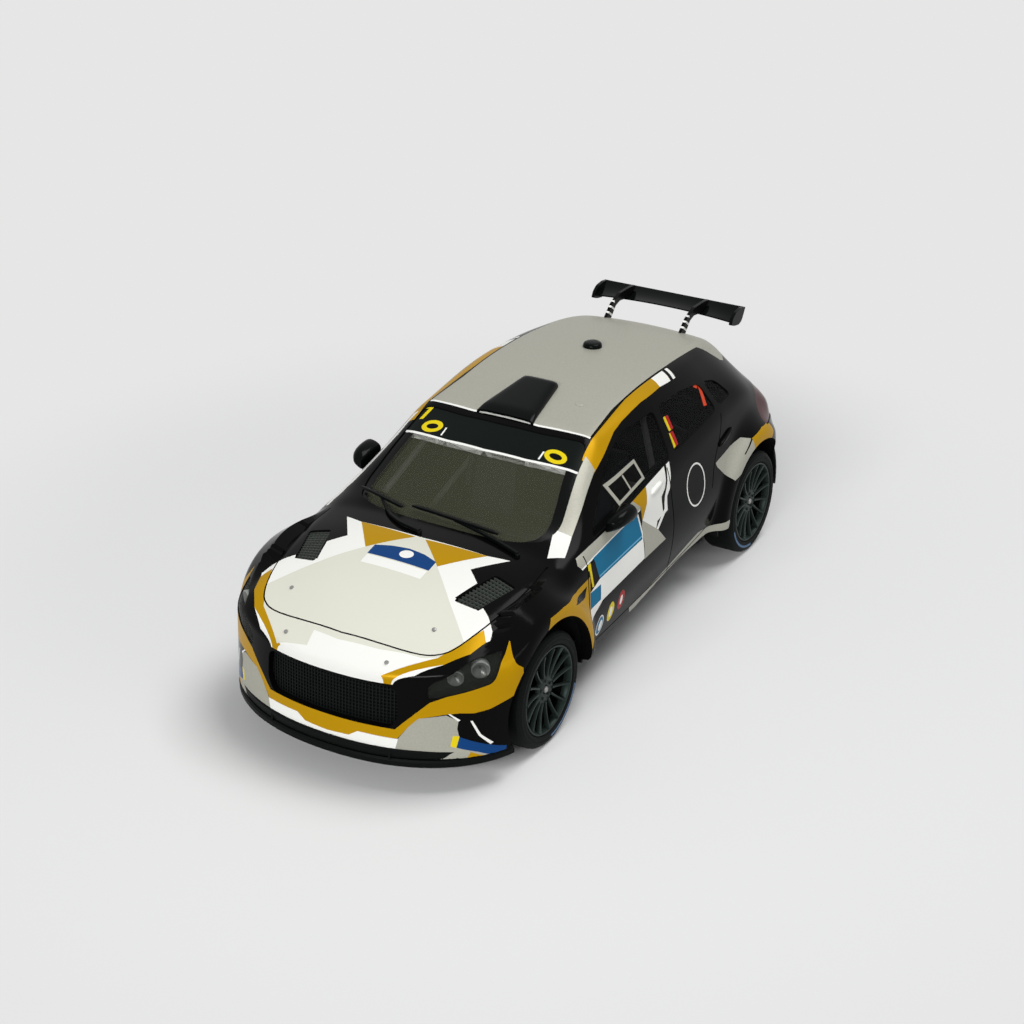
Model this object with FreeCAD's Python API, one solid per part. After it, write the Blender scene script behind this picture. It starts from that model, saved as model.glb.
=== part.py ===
"""Scale model of a five-door hatchback rally car, built the way a 1:43 die-cast model is.

A thin cast body shell closes over a plastic chassis plate and cabin tub. Clear plastic windows fill its openings,
small plastic pieces plug onto it, and two steel axles carry four pressed-on wheels.
Frame: millimetres, +X is the car's left, -Y its front and +Z up. The origin is on the ground, midway along the length.
"""
import FreeCAD
import Part
import math
import os

# ---- driving sizes -------------------------------------------------------------------------------------------------
WALL = 1.1                # thickness of the cast body shell
GLASS = 0.7               # thickness of the window mouldings
GLASS_SEAT = 0.05         # clearance between a window and the opening it fills
FIT = 0.1                 # clearance between plugged-in pieces and the shell
WHEELBASE = 60.0
FRONT_AXLE_Y = -27.9
REAR_AXLE_Y = FRONT_AXLE_Y + WHEELBASE
TYRE_R = 7.6
TYRE_FACE_X = 20.3        # outer face of each tyre, from the middle plane
TYRE_WIDTH = 5.2
TYRE_WALL = 1.7           # height of the tyres' side walls
RIM_R = TYRE_R - TYRE_WALL
RIM_INSET = 0.35          # rim lip, inward of the tyre's outer face
RIM_WALL = 0.45
SPOKE_COUNT = 15
HUB_R = 1.6
AXLE_R = 0.75
AXLE_RUNNING = 0.06       # radial clearance of an axle in its bearing block
ARCH_R = 9.7              # wheel arch opening
FLARE_TOP_R = 13.0        # flare's foot on the body side
FLARE_LIP_R = 10.9        # flare's outer lip
FLARE_X = 21.1            # outermost face of the flares
FLARE_LOW_Z = 8.0         # the flares end here, above the sills
CHASSIS_Z = 4.4           # underside of the chassis plate
CHASSIS_T = 1.4
SILL_TUCK_X = 16.3        # half width of the plate between the wheels, hidden behind the sills
TUB_TOP_Z = 17.6
TUB_DECK_Z = 10.5         # underside of the tub behind the seats, over the rear axle
TUB_WALL = 0.9
TUB_X = 15.9              # half width of the tub
TUB_FRONT_Y = FRONT_AXLE_Y + TYRE_R + 4.8
TUB_STEP_Y = REAR_AXLE_Y - TYRE_R - 2.1
DECK_X = 13.2             # half width of its deck between the rear wheels
SILL_LEDGE = ((SILL_TUCK_X, 5.0), (19.0, 8.7), (19.0, 10.1), (TUB_X + FIT, 6.9), (TUB_X + FIT, 5.0))
# SILL_LEDGE: (x, z) of the sloping ledges of the plate that close the gap up to the sills
SCREW_R = 1.25            # holes for the two display-base screws
SCREW_DEPTH = 4.0
SCREW_BOSS_R = 2.6
SCREW_YS = (FRONT_AXLE_Y + 20.9, REAR_AXLE_Y - 15.1)

# ---- body sections -------------------------------------------------------------------------------------------------
# One row per station along the car: the height and half width of the sill, waist, belt, rail and roof lines, and the
# height of the crown on the middle plane. Ahead of the windscreen the rail, roof and crown lines run over the bonnet.
SECTION_COLUMNS = ("y", "sill_z", "sill_x", "waist_z", "waist_x", "belt_z", "belt_x",
                   "rail_z", "rail_x", "roof_z", "roof_x", "crown_z")
SECTIONS = (
    (-50.0, 4.4, 19.4, 9.5, 20.3, 11.3, 19.9, 12.6, 15.2, 12.8, 9.2, 12.9),
    (-46.3, 4.4, 19.4, 9.5, 20.3, 12.6, 19.8, 14.5, 15.2, 15.0, 9.2, 15.3),
    (-43.0, 4.4, 19.4, 9.5, 20.3, 13.6, 19.6, 16.2, 15.4, 17.0, 9.6, 17.7),
    (-38.0, 4.4, 19.3, 10.0, 20.2, 15.2, 19.4, 18.0, 16.0, 19.2, 10.6, 20.0),
    (-28.0, 5.0, 19.0, 11.0, 20.1, 17.2, 19.3, 20.2, 16.6, 21.3, 12.6, 22.2),
    (-20.5, 6.0, 18.7, 12.0, 20.1, 19.4, 19.2, 20.8, 17.4, 21.5, 15.2, 22.4),
    (-16.3, 6.0, 18.7, 12.2, 20.1, 20.1, 19.1, 22.0, 16.8, 22.7, 14.8, 24.7),
    (-10.0, 6.0, 18.7, 12.6, 20.1, 21.1, 18.9, 25.3, 15.5, 26.6, 13.6, 28.1),
    (-3.5, 6.2, 18.7, 13.0, 20.1, 22.1, 18.7, 28.8, 14.3, 30.3, 12.4, 31.1),
    (12.0, 8.1, 19.1, 13.5, 20.1, 23.8, 18.5, 30.2, 14.5, 31.6, 12.4, 32.4),
    (26.0, 7.0, 18.9, 14.0, 20.1, 24.8, 18.1, 29.5, 13.9, 31.0, 11.8, 31.7),
    (34.5, 5.2, 18.9, 14.5, 20.1, 24.5, 17.3, 28.0, 13.0, 29.9, 10.6, 30.5),
    (37.2, 5.4, 18.8, 14.5, 20.0, 23.6, 16.9, 26.9, 12.8, 29.0, 10.2, 29.6),
    (43.2, 5.6, 18.7, 13.0, 19.6, 18.8, 17.2, 20.4, 14.0, 21.0, 10.2, 21.4),
    (45.6, 5.6, 18.6, 12.2, 19.3, 15.2, 17.6, 16.4, 14.6, 16.8, 10.6, 17.0),
    (46.2, 5.6, 18.6, 11.5, 19.2, 13.0, 18.0, 13.4, 15.0, 13.5, 11.0, 13.6),
    (49.0, 5.6, 18.4, 11.0, 19.0, 12.4, 18.0, 12.8, 15.0, 12.9, 11.0, 13.0),
)
NOSE_Y = -46.9
TAIL_Y = 47.2
DECK_END_Y = TAIL_Y - 6.2
# Plan outline of the bumpers: (half width, distance behind the nose or ahead of the tail), from the middle outward.
NOSE_PLAN = ((0.0, 0.0), (9.5, 1.1), (15.0, 3.9), (18.7, 7.3), (20.8, 10.7), (21.3, 15.5))
TAIL_PLAN = ((0.0, 0.0), (10.0, 0.6), (15.2, 2.4), (18.2, 5.4), (19.8, 8.4), (21.3, 14.0))

# ---- openings, as outlines in the view that shows them -------------------------------------------------------------
SIDE_GLASS = {            # (y, z) seen from the side
    "front_door": ((-13.6, 21.4), (8.2, 23.9), (9.6, 29.6), (1.5, 29.4), (-4.0, 27.6)),
    "rear_door": ((9.8, 24.1), (23.2, 25.2), (22.8, 28.7), (17.0, 29.5), (11.2, 29.7)),
    "quarter": ((24.4, 25.3), (28.8, 25.4), (27.4, 27.6), (24.2, 28.5)),
}
WINDSCREEN = ((0.0, -21.3), (9.0, -20.8), (13.6, -18.6), (14.6, -15.4), (12.3, -4.2), (6.0, -5.1),
              (0.0, -5.3))                                                                            # from above
REAR_GLASS = ((0.0, 22.4), (11.4, 22.4), (9.2, 28.2), (0.0, 28.6))                                    # (x, z) from behind
GRILLE = ((0.0, 8.4), (8.5, 8.4), (9.5, 10.0), (9.3, 13.4), (8.4, 14.0), (0.0, 14.1))  # (x, z) from ahead
GRILLE_DEPTH = 1.0
HEADLAMP = ((-14.9, 12.6), (-6.8, 14.2), (-5.4, 17.3), (-9.8, 16.9), (-14.7, 14.6))                   # (s, z) across the corner
TAILLAMP = ((35.4, 18.6), (47.0, 16.2), (47.0, 19.0), (41.0, 23.4), (37.6, 22.6))                     # (y, z) from the side
HEADLAMP_TURN = 55.0      # degrees from straight ahead that the headlamps' outline is seen from
TAILLAMP_MIN_X = 11.9
BONNET_VENT = ((12.2, -27.2), (15.3, -27.6), (13.4, -33.6), (10.2, -33.9))                             # (x, y) from above

# ---- plugged-on pieces ---------------------------------------------------------------------------------------------
SPLITTER_TIP_Y = -47.4
SPLITTER_Z = 3.4
SPLITTER_T = 1.3
SPLITTER_END_Y = FRONT_AXLE_Y - 8.9
ROOF_VENT = {"front_y": -4.4, "rear_y": 5.4, "front_x": 4.3, "rear_x": 2.6, "rise": 0.95}
ANTENNA_Y = 19.8
ANTENNA_R = 1.35
ANTENNA_H = 0.9
WING_SPAN = 23.2
WING_FRONT = (41.3, 30.3)          # (y, z) of the blade's leading edge at its ends
WING_REAR = (45.0, 31.5)           # (y, z) of its trailing edge
WING_ARCH = 0.55                   # rise of the leading edge from the ends to the middle
WING_SAG = 0.35                    # hollow of the blade across its chord
WING_T = 0.55
ENDPLATE_T = 0.5
ENDPLATE = ((40.9, 30.3), (42.0, 29.9), (43.5, 29.6), (44.4, 29.9), (44.9, 30.6), (45.6, 31.7), (44.1, 31.95),
            (42.4, 31.8), (41.4, 31.2))                                                                # (y, z)
POST_X = 6.1
POST_T = 0.5
POST_SIDE = ((34.1, 29.3), (35.8, 28.9), (37.9, 31.1), (39.2, 31.45), (41.4, 31.1), (44.0, 31.7), (44.2, 32.3),
             (42.5, 32.5), (39.4, 32.6), (38.1, 32.2), (36.9, 31.7))                                   # (y, z)
MIRROR_FACE = ((18.3, 20.8), (19.4, 21.2), (20.6, 21.8), (21.4, 22.4), (21.4, 23.6), (20.6, 24.2), (19.4, 24.1),
               (18.3, 23.5))                                                                           # (x, z)
MIRROR_MIDDLE = (18.9, 22.1)       # point the mirror pod narrows towards
MIRROR_STEPS = ((-6.4, 1.0), (-9.4, 0.9), (-11.0, 0.5))                          # (y, share of the face's size)
WIPER_W = 0.35
WIPERS = {                # from above: the blade's two ends, then the arm's
    "left": (((-4.8, -19.6), (8.3, -20.2)), ((1.8, -20.0), (12.6, -22.4))),
    "right": (((-14.2, -17.4), (-6.0, -20.1)), ((-10.0, -19.0), (-0.6, -24.4))),
}
EYE_Y = TUB_FRONT_Y + 4.5          # where the dashboard's rear edge lies
DASH_X = 14.6
SEAT_X = 7.6
SEAT_Y = 4.5
CAGE_R = 0.45
CAGE_X = 14.2                      # half width of the roll cage at the doors
HOOP_Y = SEAT_Y + 6.7
STAY_X = 10.6                      # feet of the rear stays, on the deck
STAY_Y = REAR_AXLE_Y + 0.9

Vec = FreeCAD.Vector
X_AXIS = Vec(1, 0, 0)
Y_AXIS = Vec(0, 1, 0)
Z_AXIS = Vec(0, 0, 1)
BIG = 60.0
PARTS = "parts"


# ---- small helpers -------------------------------------------------------------------------------------------------
def station(y):
    """The section row at y, by straight lines between the table's stations, as a dict of named columns."""
    for low, high in zip(SECTIONS, SECTIONS[1:]):
        if y <= high[0]:
            break
    share = (y - low[0]) / (high[0] - low[0])
    return {name: a + share * (b - a) for name, a, b in zip(SECTION_COLUMNS, low, high)}


def half_outline(row, inset=0.0):
    """Half section from the sill up to the crown as (x, z) points, moved inward by inset."""
    raw = [(row[k + "_x"], row[k + "_z"]) for k in ("sill", "waist", "belt", "rail", "roof")]
    raw.append((0.0, row["crown_z"]))
    if inset == 0.0:
        return raw
    normals = []
    for (x0, z0), (x1, z1) in zip(raw, raw[1:]):
        length = math.hypot(x1 - x0, z1 - z0)
        normals.append(((z1 - z0) / length, -(x1 - x0) / length))
    out = []
    for i, (x, z) in enumerate(raw):
        a = normals[max(i - 1, 0)]
        b = normals[min(i, len(normals) - 1)]
        if i == len(raw) - 1:
            out.append((0.0, z - inset / a[1]))
            continue
        nx, nz = a[0] + b[0], a[1] + b[1]
        scale = inset * 2.0 / (nx * nx + nz * nz)
        out.append((x - nx * scale, z - nz * scale))
    return out


def polygon(points, plane, at=0.0):
    """A closed flat face through 2-D points on plane 'xy', 'yz' or 'xz', at that distance along the third axis."""
    place = {
        "xy": lambda a, b: Vec(a, b, at),
        "yz": lambda a, b: Vec(at, a, b),
        "xz": lambda a, b: Vec(a, at, b),
    }[plane]
    pts = [place(a, b) for a, b in points]
    return Part.Face(Part.makePolygon(pts + pts[:1]))


def prism(points, plane, start, end):
    """A straight prism on a flat outline, from start to end along the axis across its plane."""
    axis = {"xy": Z_AXIS, "yz": X_AXIS, "xz": Y_AXIS}[plane]
    return polygon(points, plane, start).extrude(axis * (end - start))


def mirrored(points):
    """A closed outline from its half: points run from the middle line outward and back to it."""
    return list(points) + [(-a, b) for a, b in reversed(points) if abs(a) > 1e-9]


def box(x0, x1, y0, y1, z0, z1):
    return Part.makeBox(x1 - x0, y1 - y0, z1 - z0, Vec(x0, y0, z0))


def rod(points, radius):
    """An eight-sided bar through 3-D points, run a little past each bend, as one solid."""
    pieces = []
    for a, b in zip(points, points[1:]):
        along = (b - a).normalize()
        across = along.cross(Z_AXIS if abs(along.z) < 0.9 else X_AXIS).normalize()
        third = along.cross(across)
        start = a - along * (0.4 * radius if a is not points[0] else 0.0)
        length = (b - start).Length + (0.4 * radius if b is not points[-1] else 0.0)
        ring = [start + across * (radius * math.cos(t)) + third * (radius * math.sin(t))
                for t in (math.pi * (k + 0.5) / 4 for k in range(8))]
        pieces.append(Part.Face(Part.makePolygon(ring + ring[:1])).extrude(along * length))
    return pieces[0].multiFuse(pieces[1:]) if len(pieces) > 1 else pieces[0]


def flip(shape):
    """The same piece on the car's other side."""
    return shape.mirror(Vec(0, 0, 0), X_AXIS)


def body_loft(inset=0.0, open_bottom=False):
    """The car's outer form, or that form moved inward: one ruled loft through the stations."""
    wires = []
    for row in SECTIONS:
        half = half_outline(dict(zip(SECTION_COLUMNS, row)), inset)
        if open_bottom:
            half[0] = (half[0][0], half[0][1] - 3.0)
        points = [Vec(x, row[0], z) for x, z in half]
        points += [Vec(-x, row[0], z) for x, z in reversed(half[:-1])]
        wires.append(Part.makePolygon(points + points[:1]))
    return Part.makeLoft(wires, True, True)


def plan_prism(inset=0.0, grow=0.0, z0=-5.0, z1=BIG):
    """An upright prism on the car's plan outline: rounded bumpers and straight sides."""
    side = 21.3 - inset + grow
    nose = [(x * (side / 21.3), NOSE_Y + inset - grow + back) for x, back in NOSE_PLAN]
    tail = [(x * (side / 21.3), TAIL_Y - inset + grow - ahead) for x, ahead in TAIL_PLAN]
    half = nose + tail[::-1]
    points = half + [(-x, y) for x, y in half[-2:0:-1]]
    return prism(points, "xy", z0, z1)


def form(inset=0.0, open_bottom=False):
    """The closed outer form of the body, moved inward by inset."""
    return body_loft(inset, open_bottom).common(plan_prism(inset))


def surface_z(x, y):
    """Height of the outer form above the point (x, y)."""
    half = half_outline(station(y))
    for (x0, z0), (x1, z1) in zip(half[::-1], half[-2::-1]):
        if x <= x1:
            return z0 + (z1 - z0) * (x - x0) / (x1 - x0)
    return half[0][1]


def single(shape, name):
    """The shape's one solid, cleaned. A piece that fell apart is named."""
    solids = shape.Solids
    if len(solids) != 1:
        sizes = [round(s.Volume, 3) for s in solids]
        print(f"{name}: {len(solids)} solids, volumes {sizes}")
    return max(solids, key=lambda s: s.Volume)


# ---- body shell and windows ----------------------------------------------------------------------------------------
def flare_solids():
    """Four wheel-arch flares: cones that swell out of the body side round each arch."""
    out = []
    depth = FLARE_X - 18.2
    for y in (FRONT_AXLE_Y, REAR_AXLE_Y):
        cone = Part.makeCone(FLARE_TOP_R, FLARE_LIP_R, depth, Vec(18.2, y, TYRE_R), X_AXIS)
        cone = cone.common(plan_prism(z0=FLARE_LOW_Z))
        out += [cone, flip(cone)]
    return out


def side_glass_prisms(grow=0.0):
    return {name: prism(pts, "yz", -BIG, BIG) for name, pts in SIDE_GLASS.items()}


def windscreen_prism():
    return prism(mirrored(WINDSCREEN), "xy", 20.0, BIG)


def rear_glass_prism():
    return prism(mirrored(REAR_GLASS), "xz", 34.0, BIG)


def body_shell(outer):
    """The painted casting: outer form with flares, less its inside, windows, arches and grille."""
    inner = form(WALL, open_bottom=True)
    shell = outer.multiFuse(flare_solids())
    trim_low = box(-BIG, BIG, -BIG, BIG, -BIG, CHASSIS_Z)
    shell = shell.cut(trim_low)
    shell = shell.cut(inner)
    for y in (FRONT_AXLE_Y, REAR_AXLE_Y):
        shell = shell.cut(Part.makeCylinder(ARCH_R, 2 * BIG, Vec(-BIG, y, TYRE_R), X_AXIS))
    for cutter in side_glass_prisms().values():
        shell = shell.cut(cutter)
    shell = shell.cut(windscreen_prism()).cut(rear_glass_prism())
    shell = shell.cut(prism(mirrored(GRILLE), "xz", -BIG, NOSE_Y + GRILLE_DEPTH + 2.2))
    for side in (1, -1):
        shell = shell.cut(headlamp_prism(side))
        shell = shell.cut(lamp_prism(TAILLAMP, TAILLAMP_MIN_X, side))
        shell = shell.cut(vent_prism(side))
    return single(shell, "body_shell")


def headlamp_prism(side):
    """Space of a headlamp seen across the front corner of the body."""
    turn = math.radians(HEADLAMP_TURN)
    across = Vec(math.sin(turn), math.cos(turn), 0)
    ahead = Vec(math.cos(turn), -math.sin(turn), 0)
    points = [across * s + ahead * 30.0 + Z_AXIS * z for s, z in HEADLAMP]
    space = Part.Face(Part.makePolygon(points + points[:1])).extrude(ahead * 30.0)
    return space if side > 0 else flip(space)


def lamp_prism(outline, min_x, side):
    """Space of a lamp seen from the side, outward of min_x."""
    return prism(outline, "yz", min(side * min_x, side * BIG), max(side * min_x, side * BIG))


def vent_prism(side):
    return prism([(side * x, y) for x, y in BONNET_VENT], "xy", 17.0, BIG)


def windows(outer):
    """The clear mouldings, each filling its opening flush with the body."""
    sheet = form(0.15).cut(form(0.15 + GLASS))
    out = {"windscreen": single(sheet.common(windscreen_prism()), "windscreen"),
           "rear_window": single(sheet.common(rear_glass_prism()), "rear_window")}
    for side, name in ((1, "left"), (-1, "right")):
        half = sheet.common(box(min(0, side * BIG), max(0, side * BIG), -BIG, BIG, 18.0, BIG))
        panes = [half.common(p) for p in side_glass_prisms().values()]
        out["side_windows_" + name] = Part.makeCompound([s for p in panes for s in p.Solids])
    return out


def lamps_and_grilles():
    """Lamp lenses, the front grille and the two bonnet vents, each let into its own opening."""
    skin = form(0.1).cut(form(0.1 + GLASS))
    out = {}
    for side, name in ((1, "left"), (-1, "right")):
        out["headlamp_" + name] = single(skin.common(headlamp_prism(side)), "headlamp")
        out["taillamp_" + name] = single(skin.common(lamp_prism(TAILLAMP, TAILLAMP_MIN_X, side)), "taillamp")
        out["bonnet_vent_" + name] = single(form(0.0).cut(form(0.8)).common(vent_prism(side)), "vent")
    grille_skin = form(GRILLE_DEPTH).cut(form(GRILLE_DEPTH + 0.8))
    out["front_grille"] = single(grille_skin.common(prism(mirrored(GRILLE), "xz", -BIG, -40.0)), "front_grille")
    return out


# ---- chassis and cabin ---------------------------------------------------------------------------------------------
def wheel_wells(x_in):
    """Boxes that keep the chassis and tub clear of the four wheels."""
    out = []
    for y in (FRONT_AXLE_Y, REAR_AXLE_Y):
        reach = TYRE_R + 1.4
        well = box(x_in, BIG, y - reach, y + reach, -5.0, TYRE_R + reach)
        out += [well, flip(well)]
    return out


def chassis():
    """The plastic floor plate: it closes the shell from below, bears both axles and holds the screw bosses."""
    inner = form(WALL + FIT, open_bottom=True)
    plate = inner.common(box(-BIG, BIG, -BIG, BIG, CHASSIS_Z, CHASSIS_Z + CHASSIS_T))
    front, rear = FRONT_AXLE_Y + TYRE_R, REAR_AXLE_Y - TYRE_R
    ledges = []
    for side in (1, -1):
        x0, x1 = sorted((side * SILL_TUCK_X, side * BIG))
        plate = plate.cut(box(x0, x1, front, rear, 0.0, BIG))
        ledges.append(inner.common(prism([(side * x, z) for x, z in SILL_LEDGE], "xz", front, rear)))
    plate = plate.multiFuse(ledges)
    for well in wheel_wells(TYRE_FACE_X - TYRE_WIDTH - 1.0):
        plate = plate.cut(well)
    adds = []
    for y in (FRONT_AXLE_Y, REAR_AXLE_Y):
        for side in (1, -1):
            adds.append(box(min(side * 9.0, side * 13.6), max(side * 9.0, side * 13.6), y - 1.8, y + 1.8,
                            CHASSIS_Z, TYRE_R + AXLE_R + 1.4))
    for y in SCREW_YS:
        adds.append(Part.makeCylinder(SCREW_BOSS_R, SCREW_DEPTH + 1.0, Vec(0, y, CHASSIS_Z)))
    plate = plate.multiFuse(adds)
    for y in (FRONT_AXLE_Y, REAR_AXLE_Y):
        plate = plate.cut(Part.makeCylinder(AXLE_R + AXLE_RUNNING, 2 * BIG, Vec(-BIG, y, TYRE_R), X_AXIS))
    for y in SCREW_YS:
        plate = plate.cut(Part.makeCylinder(SCREW_R, SCREW_DEPTH, Vec(0, y, CHASSIS_Z)))
    return single(plate, "chassis_plate")


def cabin():
    """The tub and what is glued in it, and the roll cage that stands on it."""
    tub_floor = CHASSIS_Z + CHASSIS_T + 0.2
    front = box(-TUB_X, TUB_X, TUB_FRONT_Y, TUB_STEP_Y, tub_floor, TUB_TOP_Z)
    front = front.cut(box(TUB_WALL - TUB_X, TUB_X - TUB_WALL, TUB_FRONT_Y + TUB_WALL, TUB_STEP_Y - TUB_WALL,
                          tub_floor + TUB_WALL, BIG))
    deck = box(-DECK_X, DECK_X, TUB_STEP_Y - TUB_WALL, DECK_END_Y, TUB_DECK_Z, TUB_TOP_Z)
    deck = deck.cut(box(TUB_WALL - DECK_X, DECK_X - TUB_WALL, TUB_STEP_Y, DECK_END_Y - TUB_WALL,
                        TUB_DECK_Z + TUB_WALL, BIG))
    tub = front.fuse(deck)
    for y in SCREW_YS:
        tub = tub.cut(Part.makeCylinder(SCREW_BOSS_R + FIT, SCREW_DEPTH + 1.0 + FIT, Vec(0, y, CHASSIS_Z)))
    out = {"cabin_tub": single(tub, "cabin_tub")}
    floor = tub_floor + TUB_WALL
    dash_front = TUB_FRONT_Y + TUB_WALL + FIT
    out["dashboard"] = prism([(EYE_Y, floor), (EYE_Y, 18.6), (EYE_Y - 3.4, 19.6), (dash_front, 18.6),
                              (dash_front, floor)], "yz", -DASH_X, DASH_X)
    column = Part.makeCylinder(0.35, 2.6, Vec(SEAT_X, EYE_Y, 17.4), Vec(0, 1, 0.35))
    wheel = Part.makeTorus(2.9, 0.38, Vec(SEAT_X, EYE_Y + 2.5, 18.3), Vec(0, 1, 0.35))
    bars = [Part.makeBox(5.4, 0.5, 0.7, Vec(SEAT_X - 2.7, EYE_Y + 2.2, 17.9))]
    out["steering_wheel"] = single(wheel.multiFuse(bars + [column]).cut(out["dashboard"]), "steering_wheel")
    for side, name in ((1, "left"), (-1, "right")):
        base = box(side * SEAT_X - 3.6, side * SEAT_X + 3.6, SEAT_Y - 6.2, SEAT_Y + 1.0, floor, 11.4)
        back = prism([(SEAT_Y - 0.4, floor), (SEAT_Y + 2.0, floor), (SEAT_Y + 5.4, 22.6), (SEAT_Y + 3.2, 23.2),
                      (SEAT_Y + 0.6, 14.0)], "yz", side * SEAT_X - 3.4, side * SEAT_X + 3.4)
        wings = [prism([(SEAT_Y - 0.4, 14.5), (SEAT_Y + 3.2, 14.5), (SEAT_Y + 4.8, 22.0), (SEAT_Y + 1.4, 22.0)],
                       "yz", x, x + 0.7) for x in (side * SEAT_X - 3.9, side * SEAT_X + 3.2)]
        out["seat_" + name] = single(base.multiFuse([back] + wings), "seat")
    out["roll_cage"] = roll_cage(floor)
    return out


def roll_cage(floor):
    """Main hoop, roof bars, windscreen-pillar legs, rear stays and the door crosses, as one moulding."""
    def mid(y, x_share, drop):
        row = station(y)
        return Vec(row["rail_x"] * x_share, y, row["rail_z"] - drop)
    hoop_top = mid(HOOP_Y, 0.84, 1.6)
    front_top = mid(-3.0, 0.80, 2.2)
    front_low = Vec(14.0, EYE_Y - 1.4, 19.9)
    hoop_low = Vec(CAGE_X, HOOP_Y, floor)
    stay_low = Vec(STAY_X, STAY_Y, 15.0)
    leg_y = EYE_Y + 1.5
    bars = []
    for side in (1, -1):
        def at(p):
            return Vec(side * p.x, p.y, p.z)
        bars.append(rod([at(hoop_low), at(Vec(CAGE_X, HOOP_Y, 20.0)), at(hoop_top), at(front_top), at(front_low)],
                        CAGE_R))
        bars.append(rod([at(hoop_top), at(stay_low), at(Vec(STAY_X, STAY_Y, TUB_DECK_Z + TUB_WALL))], CAGE_R))
        bars.append(rod([at(Vec(CAGE_X, HOOP_Y, 16.0)), at(Vec(CAGE_X, leg_y, 10.0)),
                         at(Vec(CAGE_X, leg_y, floor))], CAGE_R))
    for a, b in ((hoop_top, hoop_top), (front_top, front_top),
                 (Vec(CAGE_X, HOOP_Y, 17.0), Vec(CAGE_X, HOOP_Y, 17.0)), (hoop_top, Vec(CAGE_X, HOOP_Y, 19.0))):
        bars.append(rod([Vec(a.x, a.y, a.z), Vec(-b.x, b.y, b.z)], CAGE_R))
    cage = bars[0]
    for bar in bars[1:]:
        cage = cage.fuse(bar)
    return single(cage, "roll_cage")


# ---- pieces on the outside -----------------------------------------------------------------------------------------
def splitter():
    """Black lip under the front bumper, a little proud of it."""
    proud = NOSE_Y - SPLITTER_TIP_Y
    slab = plan_prism(0.0, proud, SPLITTER_Z, CHASSIS_Z)
    slab = slab.common(box(-BIG, BIG, -BIG, SPLITTER_END_Y, 0.0, BIG))
    lip = plan_prism(0.0, proud, SPLITTER_Z, SPLITTER_Z + SPLITTER_T)
    lip = lip.common(box(-BIG, BIG, -BIG, SPLITTER_END_Y, 0.0, BIG)).cut(plan_prism(0.0, 0.02, 0.0, BIG))
    return single(slab.fuse(lip), "front_splitter")


def rear_valance():
    """Black diffuser under the rear bumper, with its fins."""
    lead, end = TAIL_Y - 9.2, TAIL_Y - 0.3
    low = [(lead, 3.7), (end, 3.9), (end, 5.5), (end - 0.6, 5.5), (end - 0.6, 4.35), (lead, 4.35)]
    body = prism(low, "yz", -12.5, 12.5)
    body = body.common(plan_prism(0.3))
    fin = [(lead + 0.4, 2.9), (end - 1.1, 3.3), (end - 1.1, 4.2), (lead + 0.4, 4.0)]
    fins = [prism(fin, "yz", x - 0.3, x + 0.3)
            for x in (-8.0, -4.0, 0.0, 4.0, 8.0)]
    return single(body.multiFuse(fins), "rear_diffuser")


def roof_vent():
    """Trapezoid air scoop on the roof: low at its mouth, standing higher at its tail."""
    v = ROOF_VENT
    low = [(v["front_x"], v["front_y"], 0.0), (v["rear_x"], v["rear_y"], 0.0)]
    rise = [0.55, v["rise"]]
    top = [surface_z(x, y) + r for (x, y, _), r in zip(low, rise)]
    crown = [surface_z(0.0, y) + r for (x, y, _), r in zip(low, rise)]
    wires = []
    for (x, y, _), zt, zc in zip(low, top, crown):
        pts = [Vec(x, y, zt - 2.5), Vec(x, y, zt), Vec(0, y, zc), Vec(-x, y, zt), Vec(-x, y, zt - 2.5)]
        wires.append(Part.makePolygon(pts + pts[:1]))
    return single(Part.makeLoft(wires, True, True).cut(form(-0.02)), "roof_vent")


def antenna():
    foot = surface_z(0.0, ANTENNA_Y)
    stub = Part.makeCylinder(ANTENNA_R, ANTENNA_H + 0.6, Vec(0, ANTENNA_Y, foot - 0.6))
    stub = stub.makeFillet(0.3, [max(stub.Edges, key=lambda e: e.BoundBox.ZMin)])
    return single(stub.cut(form(0.0)), "roof_antenna")


def wing():
    """Rear wing blade with its two end plates, and the arms that reach over it from the roof."""
    (y0, z0), (y1, z1) = WING_FRONT, WING_REAR
    wires = []
    for share in (-1.0, -0.5, 0.0, 0.5, 1.0):
        x, lead = share * WING_SPAN / 2, z0 + WING_ARCH * (1.0 - share * share)
        ym, zm = (y0 + y1) / 2, (lead + z1) / 2 - WING_SAG
        low = [Vec(x, y0, lead), Vec(x, ym, zm), Vec(x, y1, z1)]
        top = [p + Vec(0, 0, WING_T) for p in low]
        wires.append(Part.Wire([Part.Arc(*low).toShape(), Part.makeLine(low[2], top[2]),
                                Part.Arc(*top[::-1]).toShape(), Part.makeLine(top[0], low[0])]))
    adds = [prism(ENDPLATE, "yz", x - ENDPLATE_T / 2, x + ENDPLATE_T / 2)
            for x in ((ENDPLATE_T - WING_SPAN) / 2, (WING_SPAN - ENDPLATE_T) / 2)]
    out = {"rear_wing": single(Part.makeLoft(wires, True, True).multiFuse(adds), "rear_wing")}
    for side, name in ((1, "left"), (-1, "right")):
        post = prism(POST_SIDE, "yz", side * POST_X - POST_T / 2, side * POST_X + POST_T / 2)
        out["wing_post_" + name] = single(post.cut(form(-0.02)).cut(out["rear_wing"]), "wing_post")
    return out


def mirror():
    """Left door mirror: a pod that narrows forward, plugged against the door."""
    cx, cz = MIRROR_MIDDLE
    wires = []
    for y, share in MIRROR_STEPS:
        points = [Vec(cx + (x - cx) * share, y, cz + (z - cz) * share) for x, z in MIRROR_FACE]
        wires.append(Part.makePolygon(points + points[:1]))
    return single(Part.makeLoft(wires, True, True).cut(form(-0.02)), "door_mirror")


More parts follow.
